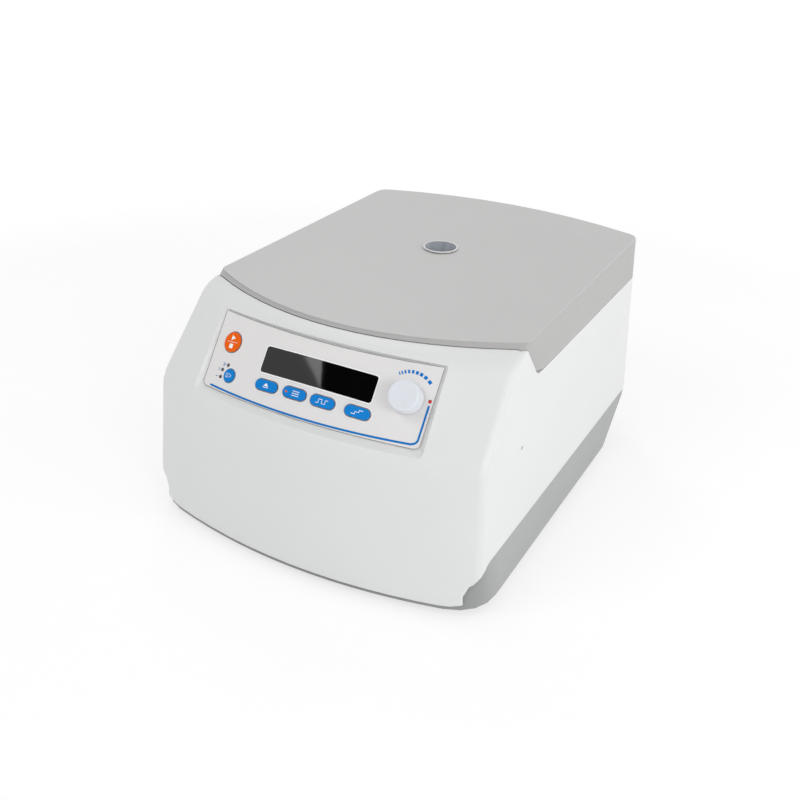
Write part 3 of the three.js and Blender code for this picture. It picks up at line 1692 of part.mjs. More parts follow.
piece('power_inlet', powerInlet(), blackPlastic, body).position.set(inlet.x, 0, powerLevel);
piece('power_switch_frame', switchFrame(), blackPlastic, body).position.set(rockerX, 0, powerLevel);
piece('power_rocker', powerRocker(), blackPlastic, body).position.set(rockerX, rockerPivot, powerLevel);
piece('drive_board', drivePcb(), boardGreen, body);

export default centrifuge;
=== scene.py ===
import json
import math

import bmesh
import bpy
from mathutils import Matrix, Vector

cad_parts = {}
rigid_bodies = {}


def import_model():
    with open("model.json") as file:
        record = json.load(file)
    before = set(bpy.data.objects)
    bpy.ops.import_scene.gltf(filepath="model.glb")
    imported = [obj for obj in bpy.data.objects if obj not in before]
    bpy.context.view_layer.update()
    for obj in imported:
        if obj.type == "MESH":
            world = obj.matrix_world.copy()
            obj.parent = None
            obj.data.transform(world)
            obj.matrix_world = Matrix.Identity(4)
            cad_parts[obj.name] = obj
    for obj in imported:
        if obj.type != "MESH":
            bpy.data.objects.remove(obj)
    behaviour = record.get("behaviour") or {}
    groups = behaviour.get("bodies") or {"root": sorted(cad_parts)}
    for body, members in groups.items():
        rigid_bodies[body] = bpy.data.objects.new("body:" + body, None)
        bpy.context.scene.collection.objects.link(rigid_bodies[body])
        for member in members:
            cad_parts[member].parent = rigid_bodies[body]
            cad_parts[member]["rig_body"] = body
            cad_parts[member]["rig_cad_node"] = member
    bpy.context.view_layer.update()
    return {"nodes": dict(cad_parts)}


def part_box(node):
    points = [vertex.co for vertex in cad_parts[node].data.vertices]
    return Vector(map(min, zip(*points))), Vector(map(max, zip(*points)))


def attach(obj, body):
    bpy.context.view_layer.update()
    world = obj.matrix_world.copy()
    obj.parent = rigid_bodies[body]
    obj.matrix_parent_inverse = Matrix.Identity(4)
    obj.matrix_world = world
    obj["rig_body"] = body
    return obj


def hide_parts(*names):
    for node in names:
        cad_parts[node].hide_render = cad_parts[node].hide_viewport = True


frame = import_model()
nodes = frame["nodes"]
mm = 0.001
rotorMiddle = (0.0, 35.394 * mm)
print("frame loaded:", len(nodes), "nodes")


# Small helpers for selecting, finishing and placing

def deselectAll():
    bpy.ops.object.select_all(action="DESELECT")


def makeActive(piece):
    deselectAll()
    piece.select_set(True)
    bpy.context.view_layer.objects.active = piece
    return piece


def newPiece(name):  # the object that the last add operator made
    piece = bpy.context.view_layer.objects.active
    piece.name = name
    piece.data.name = name
    return piece


def linearColor(hexText):
    values = [int(hexText[i:i + 2], 16) / 255 for i in (0, 2, 4)]
    return [v / 12.92 if v <= 0.04045 else ((v + 0.055) / 1.055) ** 2.4 for v in values] + [1.0]


def applyModifier(piece, kind, **settings):
    makeActive(piece)
    modifier = piece.modifiers.new(kind.title(), kind)
    for key, value in settings.items():
        setattr(modifier, key, value)
    bpy.ops.object.modifier_apply(modifier=modifier.name)
    return piece


def applyPlace(piece):
    makeActive(piece)
    bpy.ops.object.transform_apply(location=True, rotation=True, scale=True)
    return piece


def placeAt(piece, place):  # place is a matrix
    piece.matrix_world = place
    return applyPlace(piece)


def selectFaces(piece, wanted):  # in edit mode; wanted takes a face's middle and normal
    bpy.ops.mesh.select_mode(type="FACE")
    bpy.ops.mesh.select_all(action="DESELECT")
    shape = bmesh.from_edit_mesh(piece.data)
    for face in shape.faces:
        face.select_set(wanted(face.calc_center_median(), face.normal))
    bmesh.update_edit_mesh(piece.data)


def slide(x, y, z):
    bpy.ops.mesh.extrude_region_move(TRANSFORM_OT_translate={"value": (x, y, z)})


def paint(piece, material):
    piece.data.materials.clear()
    piece.data.materials.append(material)
    return piece


def paintFaces(piece, look, wanted):  # the rest of the piece keeps its first finish
    piece.data.materials.append(finish[look])
    index = len(piece.data.materials) - 1
    for face in piece.data.polygons:
        if wanted(face.center, face.normal):
            face.material_index = index
    return piece


def putOn(piece, body, look):  # its finish, and the body that it moves with
    paint(piece, finish[look])
    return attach(piece, body)


def joined(pieces, name):
    makeActive(pieces[0])
    for piece in pieces[1:]:
        piece.select_set(True)
    bpy.ops.object.join()
    return newPiece(name)


# Materials

def nodeTree(material):
    tree = material.node_tree
    return tree, tree.nodes["Principled BSDF"]


def addNode(tree, kind, **sockets):
    node = tree.nodes.new(kind)
    for key, value in sockets.items():
        node.inputs[key.replace("_", " ")].default_value = value
    return node


def plainMaterial(name, color, roughness, metallic=0.0):
    material = bpy.data.materials.new(name)
    material.use_nodes = True
    shader = material.node_tree.nodes["Principled BSDF"]
    shader.inputs["Base Color"].default_value = linearColor(color)
    shader.inputs["Roughness"].default_value = roughness
    shader.inputs["Metallic"].default_value = metallic
    return material


def objectSpot(tree, scale=(1, 1, 1), location=(0, 0, 0)):
    place = tree.nodes.new("ShaderNodeTexCoord")
    mapping = tree.nodes.new("ShaderNodeMapping")
    mapping.inputs["Location"].default_value = location
    mapping.inputs["Scale"].default_value = scale
    tree.links.new(place.outputs["Object"], mapping.inputs["Vector"])
    return mapping.outputs["Vector"]


def mottle(tree, shader, spot, color, scale, spread):
    noise = addNode(tree, "ShaderNodeTexNoise", Scale=scale, Detail=3.0)
    tree.links.new(spot, noise.inputs["Vector"])
    ramp = tree.nodes.new("ShaderNodeValToRGB")
    base = linearColor(color)
    ramp.color_ramp.elements[0].position = 0.3
    ramp.color_ramp.elements[1].position = 0.7
    ramp.color_ramp.elements[0].color = [c * (1 - spread) for c in base[:3]] + [1]
    ramp.color_ramp.elements[1].color = [min(1, c * (1 + spread)) for c in base[:3]] + [1]
    tree.links.new(noise.outputs["Fac"], ramp.inputs["Fac"])
    tree.links.new(ramp.outputs["Color"], shader.inputs["Base Color"])


def spanRoughness(tree, shader, height, low, high):
    span = addNode(tree, "ShaderNodeMapRange", To_Min=low, To_Max=high)
    tree.links.new(height, span.inputs["Value"])
    tree.links.new(span.outputs["Result"], shader.inputs["Roughness"])


def varyRoughness(tree, shader, spot, scale, low, high):
    noise = addNode(tree, "ShaderNodeTexNoise", Scale=scale, Detail=4.0)
    tree.links.new(spot, noise.inputs["Vector"])
    spanRoughness(tree, shader, noise.outputs["Fac"], low, high)


def grainBump(tree, shader, height, strength, distance, edgeRound=0):
    bump = addNode(tree, "ShaderNodeBump", Strength=strength, Distance=distance)
    tree.links.new(height, bump.inputs["Height"])
    if edgeRound:
        edge = addNode(tree, "ShaderNodeBevel", Radius=edgeRound)
        edge.samples = 6
        tree.links.new(edge.outputs["Normal"], bump.inputs["Normal"])
    tree.links.new(bump.outputs["Normal"], shader.inputs["Normal"])


def mouldedPlastic(name, color, roughness=0.45, grain=1500, depth=0.00002, edgeRound=0.0,
                   spread=0.008, gloss=0.5):
    material = plainMaterial(name, color, roughness)
    tree, shader = nodeTree(material)
    shader.inputs["Specular IOR Level"].default_value = gloss
    spot = objectSpot(tree)
    mottle(tree, shader, spot, color, 14, spread)
    varyRoughness(tree, shader, spot, 60, roughness - 0.05, roughness + 0.05)
    grainNoise = addNode(tree, "ShaderNodeTexNoise", Scale=grain, Detail=2.0)
    tree.links.new(spot, grainNoise.inputs["Vector"])
    grainBump(tree, shader, grainNoise.outputs["Fac"], 0.25, depth, edgeRound)
    return material


def paleEdges(material, color, radius, share):  # painted highlight: the colour turns pale near edges, standing in for the light that moulded edges catch
    tree, shader = nodeTree(material)
    around = addNode(tree, "ShaderNodeBevel", Radius=radius)  # its normal leans over near an edge
    around.samples = 8
    here = tree.nodes.new("ShaderNodeNewGeometry")
    likeness = tree.nodes.new("ShaderNodeVectorMath")
    likeness.operation = "DOT_PRODUCT"
    tree.links.new(around.outputs["Normal"], likeness.inputs[0])
    tree.links.new(here.outputs["Normal"], likeness.inputs[1])
    span = addNode(tree, "ShaderNodeMapRange", From_Min=0.995, From_Max=0.86, To_Min=0.0, To_Max=share)
    tree.links.new(likeness.outputs["Value"], span.inputs["Value"])
    mix = tree.nodes.new("ShaderNodeMix")
    mix.data_type = "RGBA"
    mix.inputs[7].default_value = linearColor(color)  # sockets 6 and 7 are the two colours
    tree.links.new(span.outputs["Result"], mix.inputs[0])
    tree.links.new(shader.inputs["Base Color"].links[0].from_socket, mix.inputs[6])
    tree.links.new(mix.outputs[2], shader.inputs["Base Color"])


def shadeAlong(material, axis, start, end, low):  # painted shade: the colour darkens along one axis; low is the share of the colour left at start
    tree, shader = nodeTree(material)
    parts = tree.nodes.new("ShaderNodeSeparateXYZ")
    tree.links.new(objectSpot(tree), parts.inputs[0])
    span = addNode(tree, "ShaderNodeMapRange", From_Min=start, From_Max=end, To_Min=low, To_Max=1.0)
    tree.links.new(parts.outputs[axis], span.inputs["Value"])
    scaled = tree.nodes.new("ShaderNodeVectorMath")
    scaled.operation = "SCALE"
    tree.links.new(shader.inputs["Base Color"].links[0].from_socket, scaled.inputs[0])
    tree.links.new(span.outputs["Result"], scaled.inputs["Scale"])
    tree.links.new(scaled.outputs["Vector"], shader.inputs["Base Color"])


def glossyPane(name, color, roughness):  # faint wiping marks, nearly flat
    material = plainMaterial(name, color, roughness)
    tree, shader = nodeTree(material)
    spot = objectSpot(tree)
    mottle(tree, shader, spot, color, 40, 0.03)
    varyRoughness(tree, shader, spot, 35, roughness * 0.8, roughness * 1.4)
    smear = addNode(tree, "ShaderNodeTexNoise", Scale=90.0, Detail=1.0)
    tree.links.new(spot, smear.inputs["Vector"])
    grainBump(tree, shader, smear.outputs["Fac"], 0.02, 0.00001)
    return material


def brushedSteel(name, color, roughness, along=(30, 900, 900)):
    material = plainMaterial(name, color, roughness, 1.0)
    tree, shader = nodeTree(material)
    spot = objectSpot(tree, scale=along)
    streak = addNode(tree, "ShaderNodeTexNoise", Scale=1.0, Detail=4.0)
    tree.links.new(spot, streak.inputs["Vector"])
    mottle(tree, shader, spot, color, 0.8, 0.07)
    spanRoughness(tree, shader, streak.outputs["Fac"], roughness - 0.08, roughness + 0.1)
    grainBump(tree, shader, streak.outputs["Fac"], 0.2, 0.00003)
    return material


def turnedMetal(name, color, roughness, pitch):  # fine rings round the rotor axis
    material = plainMaterial(name, color, roughness, 1.0)
    tree, shader = nodeTree(material)
    spot = objectSpot(tree, location=(-rotorMiddle[0], -rotorMiddle[1], 0))
    rings = addNode(tree, "ShaderNodeTexWave", Scale=pitch, Distortion=0.6, Detail=2.0)
    rings.wave_type = "RINGS"
    rings.rings_direction = "Z"
    tree.links.new(spot, rings.inputs["Vector"])
    mottle(tree, shader, spot, color, 90, 0.05)
    spanRoughness(tree, shader, rings.outputs["Fac"], roughness - 0.06, roughness + 0.08)
    grainBump(tree, shader, rings.outputs["Fac"], 0.15, 0.00003)
    return material


# What each finish looks like; depths, rounds and places are in metres

printLook = {"roughness": 0.5, "grain": 3200, "depth": 0.000005, "spread": 0.02, "gloss": 0.15}
capLook = {"roughness": 0.42, "grain": 2600, "depth": 0.00001, "spread": 0.03, "gloss": 0.12}
lampLook = {"roughness": 0.15, "grain": 900, "depth": 0.00001, "spread": 0.05}
plasticPlan = {
    "coverWhite": {"color": "e5e6e5", "roughness": 0.4, "edgeRound": 0.0009},
    "lidGrey": {"color": "c8c7c6", "roughness": 0.5, "edgeRound": 0.0008},
    # The lid's side and lip: darker copies of the lid's grey, painted shade by the way the faces turn
    "lidSidePaintedShade": {"color": "b4b3b2", "roughness": 0.5, "edgeRound": 0.0008},
    "lidLipPaintedShade": {"color": "b4b3b2", "roughness": 0.5, "edgeRound": 0.0008},
    "baseGrey": {"color": "a9aaaa", "roughness": 0.5, "edgeRound": 0.0008},
    "foilPale": {"color": "e8e6e5", "roughness": 0.5, "grain": 3200, "depth": 0.000008, "spread": 0.004},
    "keyBlue": {"color": "0082d6", **capLook},
    "keyOrange": {"color": "f26400", **capLook},
    "printBlue": {"color": "0078cc", **printLook},
    "printWhite": {"color": "fdfdfd", "roughness": 0.5, "grain": 3200, "depth": 0.000005, "spread": 0.004},
    "printSlate": {"color": "7f92a6", **printLook},
    # grey for the painted shadow line along the foil's edge
    "paintedShadowGrey": {"color": "939393", **printLook},
    "printTan": {"color": "b09a8e", **printLook},
    "portGrey": {"color": "9499a1", "roughness": 0.2, "grain": 900, "depth": 0.00001, "spread": 0.03},
    "portRimPale": {"color": "dddbd9", "roughness": 0.35, "grain": 1500, "depth": 0.00001},
    "knobPearl": {"color": "e4e8ee", "roughness": 0.22, "grain": 900, "depth": 0.000004, "spread": 0.006},
    "sleeveWhite": {"color": "e8e6dd", "roughness": 0.38, "grain": 700, "depth": 0.00002, "spread": 0.02},
    "blackPlastic": {"color": "1c1c1e", "roughness": 0.42, "grain": 1200, "depth": 0.00003, "spread": 0.08},
    "rubberBlack": {"color": "272728", "roughness": 0.8, "grain": 500, "depth": 0.00006, "spread": 0.1},
    "gasketGrey": {"color": "585b5e", "roughness": 0.75, "grain": 600, "depth": 0.00005, "spread": 0.06},
    "lampDark": {"color": "4c4440", **lampLook},
    "lampRed": {"color": "d6281e", **lampLook},
    "motorBlack": {"color": "2e3034", "roughness": 0.45, "grain": 400, "depth": 0.00004, "spread": 0.1},
    "boardGreen": {"color": "1f5c3a", "roughness": 0.35, "grain": 260, "depth": 0.00004, "spread": 0.25},
}
panePlan = {
    "portPane": {"color": "7c8087", "roughness": 0.08},
    "displayBlack": {"color": "020202", "roughness": 0.04},
}
brushedPlan = {  # along gives how fine the streaks are on each axis
    "brassBlades": {"color": "c9a660", "roughness": 0.3, "along": (300, 60, 300)},
    "brushedSteel": {"color": "c4c7ca", "roughness": 0.3},
    "zincPlated": {"color": "aeb1b3", "roughness": 0.42, "along": (240, 260, 250)},
}
turnedPlan = {
    "bowlSteel": {"color": "c9cccf", "roughness": 0.3, "pitch": 420},
    "turnedAluminium": {"color": "ccd0d4", "roughness": 0.3, "pitch": 700},
}
# A painted highlight on the cover's edges, pale towards each edge
coverEdgeHighlight = {"color": "fcfcfc", "radius": 0.0013, "share": 0.9}
# Painted shade: the base's grey darkens towards its front
basePaintedShade = {"axis": 1, "start": -0.2126, "end": -0.15, "low": 0.62}  # axis 1 runs from front to rear

finish = {name: mouldedPlastic(name, **plan) for name, plan in plasticPlan.items()}
finish.update({name: glossyPane(name, **plan) for name, plan in panePlan.items()})
finish.update({name: brushedSteel(name, **plan) for name, plan in brushedPlan.items()})
finish.update({name: turnedMetal(name, **plan) for name, plan in turnedPlan.items()})
paleEdges(finish["coverWhite"], **coverEdgeHighlight)
shadeAlong(finish["baseGrey"], **basePaintedShade)
print("materials made")


# Visible copies of the CAD nodes, merged and shaded smooth

def smoothCopy(node, name, look, angle=34):
    source = nodes[node]
    source.hide_set(False)
    makeActive(source)
    bpy.ops.object.duplicate()
    piece = newPiece(name)
    body = source["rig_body"]
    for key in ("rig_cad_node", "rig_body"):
        if key in piece:
            del piece[key]
    piece.parent = None
    makeActive(piece)
    bpy.ops.mesh.customdata_custom_splitnormals_clear()
    bpy.ops.object.mode_set(mode="EDIT")
    bpy.ops.mesh.select_all(action="SELECT")
    bpy.ops.mesh.remove_doubles(threshold=0.000002)
    bpy.ops.object.mode_set(mode="OBJECT")
    bpy.ops.object.shade_smooth_by_angle(angle=math.radians(angle))
    applyModifier(piece, "WEIGHTED_NORMAL", keep_sharp=True, weight=60)
    putOn(piece, body, look)
    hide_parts(node)
    return piece


dressed = {  # the piece's name, its finish and the angle up to which it is smooth
    "housing_cover": ("coverShell", "coverWhite", 34),
    "base_tray": ("baseTray", "baseGrey", 34),
    "lid_shell": ("lidTop", "lidGrey", 34),
    "lid_liner": ("lidLiner", "brushedSteel", 34),
    "lid_striker": ("lidStriker", "zincPlated", 34),
    "sight_bezel": ("sightFunnel", "portGrey", 40),
    "sight_window": ("sightPane", "portPane", 34),
    "deck_plate": ("deckPlate", "coverWhite", 34),
    "chamber_wall": ("chamberWall", "bowlSteel", 34),
    "chamber_floor": ("chamberFloor", "bowlSteel", 34),
    "bowl_gasket": ("bowlGasket", "gasketGrey", 40),
    "motor_boot": ("motorBoot", "rubberBlack", 40),
    "motor_body": ("motorBody", "motorBlack", 34),
    "motor_plate": ("motorPlate", "zincPlated", 34),
    "rotor_head": ("rotorHead", "turnedAluminium", 34),
    "rotor_nut": ("rotorNut", "turnedAluminium", 34),
    "rotor_shaft": ("rotorShaft", "brushedSteel", 34),
    "panel_overlay": ("panelFoil", "foilPale", 20),
    "display_window": ("displayPane", "displayBlack", 20),
    "knob_encoder": ("knobEncoder", "zincPlated", 34),
    "run_key": ("runKey", "keyOrange", 34),
    "brake_key": ("brakeKey", "keyBlue", 34),
    "door_key": ("doorKey", "keyBlue", 34),
    "order_key": ("orderKey", "keyBlue", 34),
    "pulse_key": ("pulseKey", "keyBlue", 34),
    "program_key": ("programKey", "keyBlue", 34),
    "run_lamp": ("runLamp", "lampRed", 50),
    "control_board": ("controlBoard", "boardGreen", 34),
    "drive_board": ("driveBoard", "boardGreen", 34),
    "power_inlet": ("powerInlet", "blackPlastic", 34),
    "power_switch_frame": ("powerSwitchFrame", "blackPlastic", 34),
    "power_rocker": ("powerRocker", "blackPlastic", 24),
    "lock_frame": ("lockFrame", "zincPlated", 34),
    "lock_slider": ("lockSlider", "brushedSteel", 34),
    "solenoid_body": ("solenoidBody", "blackPlastic", 34),
    "solenoid_plunger": ("solenoidPlunger", "brushedSteel", 34),
    "release_rod": ("releaseRod", "blackPlastic", 34),
}
for node in nodes:
    if node.startswith("tube_sleeve"):
        dressed[node] = ("tubeSleeve" + node[-1], "sleeveWhite", 34)
    if node.startswith("motor_damper"):
        dressed[node] = ("motorDamper" + node[-1], "rubberBlack", 34)
    if node.startswith("foot_"):
        dressed[node] = (node.replace("foot_", "foot"), "rubberBlack", 34)
    if node.startswith("hinge_"):
        dressed[node] = (node.replace("hinge_", "hinge"), "zincPlated", 34)
    if node.startswith("brake_lamp"):
        dressed[node] = (node.replace("brake_lamp_", "brakeLamp"), "lampDark", 50)
skins = {node: smoothCopy(node, *settings) for node, settings in dressed.items()}
print("CAD nodes dressed:", len(skins))


# The lid's side and lip faces in a darker grey, painted shade; the port's rim and the inlet's blades in their
# own colours; the port stands over the rotor's middle

lidPaintedShadeLimits = {"sideBelow": 0.45, "lipFacing": -0.3, "lipBelow": 0.9}  # limits on the faces' normals for the painted shade
paintFaces(skins["lid_shell"], "lidSidePaintedShade", lambda middle, normal: normal.z < lidPaintedShadeLimits["sideBelow"])
paintFaces(
    skins["lid_shell"], "lidLipPaintedShade",
    lambda middle, normal: normal.y < lidPaintedShadeLimits["lipFacing"] and normal.z < lidPaintedShadeLimits["lipBelow"],
)
portRim = {"depth": 0.9 * mm, "innerRadius": 14.3 * mm, "facing": -0.1}
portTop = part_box("sight_bezel")[1][2]
paintFaces(
    skins["sight_bezel"], "portRimPale",
    lambda middle, normal: middle.z > portTop - portRim["depth"] and normal.z > portRim["facing"]
    and math.hypot(middle.x - rotorMiddle[0], middle.y - rotorMiddle[1]) > portRim["innerRadius"],
)
bladeZone = {"halfHeight": 6.5 * mm, "halfWidth": 9.5 * mm, "behind": 4 * mm, "inFront": 3.5 * mm,
             "flat": 0.99}
inletLow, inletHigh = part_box("power_inlet")
inletMiddle = (inletLow + inletHigh) / 2
paintFaces(
    skins["power_inlet"], "brassBlades",
    lambda middle, normal: abs(middle.z - inletMiddle[2]) < bladeZone["halfHeight"]
    and abs(middle.x - inletMiddle[0]) < bladeZone["halfWidth"]
    and inletLow[1] + bladeZone["behind"] < middle.y < inletHigh[1] - bladeZone["inFront"]
    and abs(normal.y) < bladeZone["flat"],
)
print("lid, port and inlet shaded")


# The panel bed: x across it, s up it and h out of it, bent round a cylinder

panel = {"bend": 571 * mm, "setback": -175.8056 * mm, "level": 159.45 * mm, "tilt": math.radians(54.4),
         "printHeight": 1.12 * mm, "capHeight": 2.34 * mm, "ink": 0.05 * mm}


def panelSpot(x, s, h):
    turn = x / panel["bend"]
    out = (panel["bend"] + h) * math.cos(turn) - panel["bend"]
    cosTilt, sinTilt = math.cos(panel["tilt"]), math.sin(panel["tilt"])
    return Vector((
        (panel["bend"] + h) * math.sin(turn),
        panel["setback"] + s * cosTilt - out * sinTilt,
        panel["level"] + s * sinTilt + out * cosTilt,
    ))


def panelPlace(x, s, h=0.0):  # where a piece drawn flat stands on the bed
    turn = x / panel["bend"]
    cosTilt, sinTilt = math.cos(panel["tilt"]), math.sin(panel["tilt"])
    across = Vector((math.cos(turn), math.sin(turn) * sinTilt, -math.sin(turn) * cosTilt))
    up = Vector((0, cosTilt, sinTilt))
    out = across.cross(up)
    spot = panelSpot(x, s, 0) + out * h
    return Matrix.Translation(spot) @ Matrix((across, up, out)).transposed().to_4x4()


def layOnPanel(piece):
    for corner in piece.data.vertices:
        corner.co = panelSpot(*corner.co)
    piece.data.update()
    return piece


def curveMesh(name, curve):
    piece = bpy.data.objects.new(name, curve)
    bpy.context.scene.collection.objects.link(piece)
    makeActive(piece)
    bpy.ops.object.convert(target="MESH")
    return newPiece(name)


def inkLine(name, lines, width, cyclic=False):  # printed lines, a flat tube each
    curve = bpy.data.curves.new(name, "CURVE")
    curve.dimensions = "3D"
    curve.twist_mode = "Z_UP"
    curve.bevel_depth = width / 2
    curve.bevel_resolution = 1
    curve.use_fill_caps = True
    for points in lines:
        spline = curve.splines.new("POLY")
        spline.points.add(len(points) - 1)
        for point, (x, s) in zip(spline.points, points):
            point.co = (x, s, 0, 1)
        spline.use_cyclic_u = cyclic
    piece = curveMesh(name, curve)
    for corner in piece.data.vertices:
        corner.co.z *= panel["ink"] / width
    return piece


def inkPatch(name, outlines):  # printed filled shapes
    curve = bpy.data.curves.new(name, "CURVE")
    curve.dimensions = "2D"
    curve.fill_mode = "BOTH"
    curve.extrude = panel["ink"] / 2
    for points in outlines:
        spline = curve.splines.new("POLY")
        spline.points.add(len(points) - 1)
        for point, (x, s) in zip(spline.points, points):
            point.co = (x, s, 0, 1)
        spline.use_cyclic_u = True
    return curveMesh(name, curve)


def raised(piece, height):
    for corner in piece.data.vertices:
        corner.co.z += height
    return piece


def onFoil(piece, look):
    layOnPanel(raised(piece, panel["printHeight"]))
    return putOn(piece, "housing", look)


def arc(x, s, radius, start, end, steps):
    angles = [math.radians(start + (end - start) * i / steps) for i in range(steps + 1)]
    return [(x + radius * math.cos(a), s + radius * math.sin(a)) for a in angles]


def pillLine(x, s, width, height, steps=8):
    radius = height / 2
    half = width / 2 - radius
    return arc(x + half, s, radius, -90, 90, steps) + arc(x - half, s, radius, 90, 270, steps)


def straight(start, end, step=4 * mm):  # in steps short enough to follow the bend of the bed
    count = max(1, math.ceil(math.dist(start, end) / step))
    return [tuple(a + (b - a) * i / count for a, b in zip(start, end)) for i in range(count + 1)]


def inMetres(lines):
    return [[(x * mm, s * mm) for x, s in line] for line in lines]


# Prints on the foil, and a painted shadow line along its edge

foilPlan = {"middle": -2 * mm, "halfWidth": 99.6 * mm, "low": -31.8 * mm, "high": 31 * mm,
            "lowRise": 5.2 * mm, "highRise": 6.4 * mm, "edgeInset": 0.35 * mm, "edgeWidth": 0.5 * mm,
            "cornerRound": 3.8 * mm, "cornerGap": 1 * mm, "steps": 48}


def foilEdgePoints():
    inset = foilPlan["edgeInset"]
    half = foilPlan["halfWidth"] - inset

    def lowEdge(x):
        return foilPlan["low"] + inset + foilPlan["lowRise"] * ((x - foilPlan["middle"]) / half) ** 2

    def highEdge(x):
        return foilPlan["high"] - inset + foilPlan["highRise"] * ((x - foilPlan["middle"]) / half) ** 2

    left, right = foilPlan["middle"] - half, foilPlan["middle"] + half
    cornerRound, steps = foilPlan["cornerRound"], foilPlan["steps"]
    gap = foilPlan["cornerGap"]
    lowRun = right - left - 2 * cornerRound
    lowRow = [left + cornerRound + lowRun * i / steps for i in range(steps + 1)]
    highRow = [right - (right - left) * i / steps for i in range(steps + 1)]
    points = [(x, lowEdge(x)) for x in lowRow]
    points += arc(right - cornerRound, lowEdge(right) + cornerRound, cornerRound, -72, 0, 5)
    points += straight((right, lowEdge(right) + 2 * cornerRound), (right, highEdge(right) - gap))
    points += [(x, highEdge(x)) for x in highRow]
    points += straight((left, highEdge(left) - gap), (left, lowEdge(left) + 2 * cornerRound))
    points += arc(left + cornerRound, lowEdge(left) + cornerRound, cornerRound, 180, 252, 5)
    return points


# A grey line along the foil's edge: painted shadow of the gap round the foil
onFoil(inkLine("foilEdgeShadowLine", [foilEdgePoints()], foilPlan["edgeWidth"], True), "paintedShadowGrey")

blueLine = {"left": -93.1 * mm, "right": 94.6 * mm, "low": -29.9 * mm, "rise": 0.655, "middle": -5.5 * mm,
            "turn": 4.6 * mm, "end": 6.6 * mm, "width": 1.6 * mm, "turnLift": 0.35 * mm, "steps": 44}


def blueLevel(x):
    return blueLine["low"] + blueLine["rise"] * (x - blueLine["middle"]) ** 2


def blueLinePoints():
    corner = blueLine["right"] - blueLine["turn"]
    run, steps = corner - blueLine["left"], blueLine["steps"]
    row = [blueLine["left"] + run * i / steps for i in range(steps + 1)]
    points = [(x, blueLevel(x)) for x in row]
    low = blueLevel(corner) + blueLine["turnLift"]
    points += arc(corner, low + blueLine["turn"], blueLine["turn"], -82, 0, 8)[1:]
    points += straight((blueLine["right"], low + blueLine["turn"]), (blueLine["right"], blueLine["end"]))[1:]
    return points


onFoil(inkLine("blueLine", [blueLinePoints()], blueLine["width"]), "printBlue")

knobPlan = {"x": 77.7 * mm, "s": 7.8 * mm, "footRadius": 12.2 * mm, "topRadius": 11.5 * mm,
            "low": 1.7 * mm, "high": 15.7 * mm, "edgeRound": 1.0 * mm, "recessRadius": 6 * mm,
            "recessDepth": 1.7 * mm, "boreRadius": 3.3 * mm, "boreDepth": 9.6 * mm, "rim": 0.9 * mm,
            "dish": ((2.4 * mm, 0.12 * mm), (3.4 * mm, 0.13 * mm))}  # each step's width and drop
scale = {"radius": 19.8 * mm, "length": 2.6 * mm, "narrow": 0.8 * mm, "wide": 3.0 * mm,
         "angles": (126.8, 120.8, 113.8, 105.7, 96.7, 87.2, 77, 65.4, 52)}


def scaleBars():  # bars round the knob, each wider than the one before
    bars = []
    count = len(scale["angles"]) - 1
    for number, angle in enumerate(scale["angles"]):
        width = scale["narrow"] + (scale["wide"] - scale["narrow"]) * number / count
        out = (math.cos(math.radians(angle)), math.sin(math.radians(angle)))
        beside = (-out[1], out[0])
        corners = []
        for along, over in ((-1, -1), (1, -1), (1, 1), (-1, 1)):
            reach = scale["radius"] + along * scale["length"] / 2
            corners.append((knobPlan["x"] + out[0] * reach + beside[0] * over * width / 2,
                            knobPlan["s"] + out[1] * reach + beside[1] * over * width / 2))
        bars.append(corners)
    return bars


onFoil(inkPatch("scaleBars", scaleBars()), "printBlue")

displayPlan = {"x": 1.5 * mm, "s": 6.5 * mm, "width": 100 * mm, "height": 21 * mm, "cornerRound": 2.2 * mm,
               "border": 1.3 * mm}


def roundedBox(x, s, width, height, cornerRound):
    halfWidth, halfHeight = width / 2 - cornerRound, height / 2 - cornerRound
    points = arc(x + halfWidth, s - halfHeight, cornerRound, -90, 0, 5)
    points += arc(x + halfWidth, s + halfHeight, cornerRound, 0, 90, 5)
    points += straight((x + halfWidth, s + height / 2), (x - halfWidth, s + height / 2))[1:-1]
    points += arc(x - halfWidth, s + halfHeight, cornerRound, 90, 180, 5)
    points += arc(x - halfWidth, s - halfHeight, cornerRound, 180, 270, 5)
    points += straight((x - halfWidth, s - height / 2), (x + halfWidth, s - height / 2))[1:-1]
    return points


border = displayPlan["border"]
onFoil(inkLine("displayBorder", [roundedBox(
    displayPlan["x"], displayPlan["s"], displayPlan["width"] + border, displayPlan["height"] + border,
    displayPlan["cornerRound"] + border / 2)], border, True), "printWhite")

keyPlan = {"runKey": (-83.8, 12.5, 8.3), "brakeKey": (-76.2, -14.2, 5.3),
           "doorKey": (-37.9, -13.6), "orderKey": (-11.4, -13.2), "pulseKey": (13.9, -13.2),
           "programKey": (43.7, -13.1), "pillWidth": 21, "pillHeight": 8.4,
           "gap": 0.3, "ringWidth": 0.55, "halo": 0.8}  # in millimetres; round keys end with a radius
pillNames = ("doorKey", "orderKey", "pulseKey", "programKey")


def roundRings(reach):
    return [arc(x * mm, s * mm, (radius + reach) * mm, 0, 360, 40)[:-1]
            for x, s, radius in (keyPlan["runKey"], keyPlan["brakeKey"])]


def pillRings(reach):
    return [pillLine(keyPlan[name][0] * mm, keyPlan[name][1] * mm, (keyPlan["pillWidth"] + 2 * reach) * mm,
                     (keyPlan["pillHeight"] + 2 * reach) * mm) for name in pillNames]


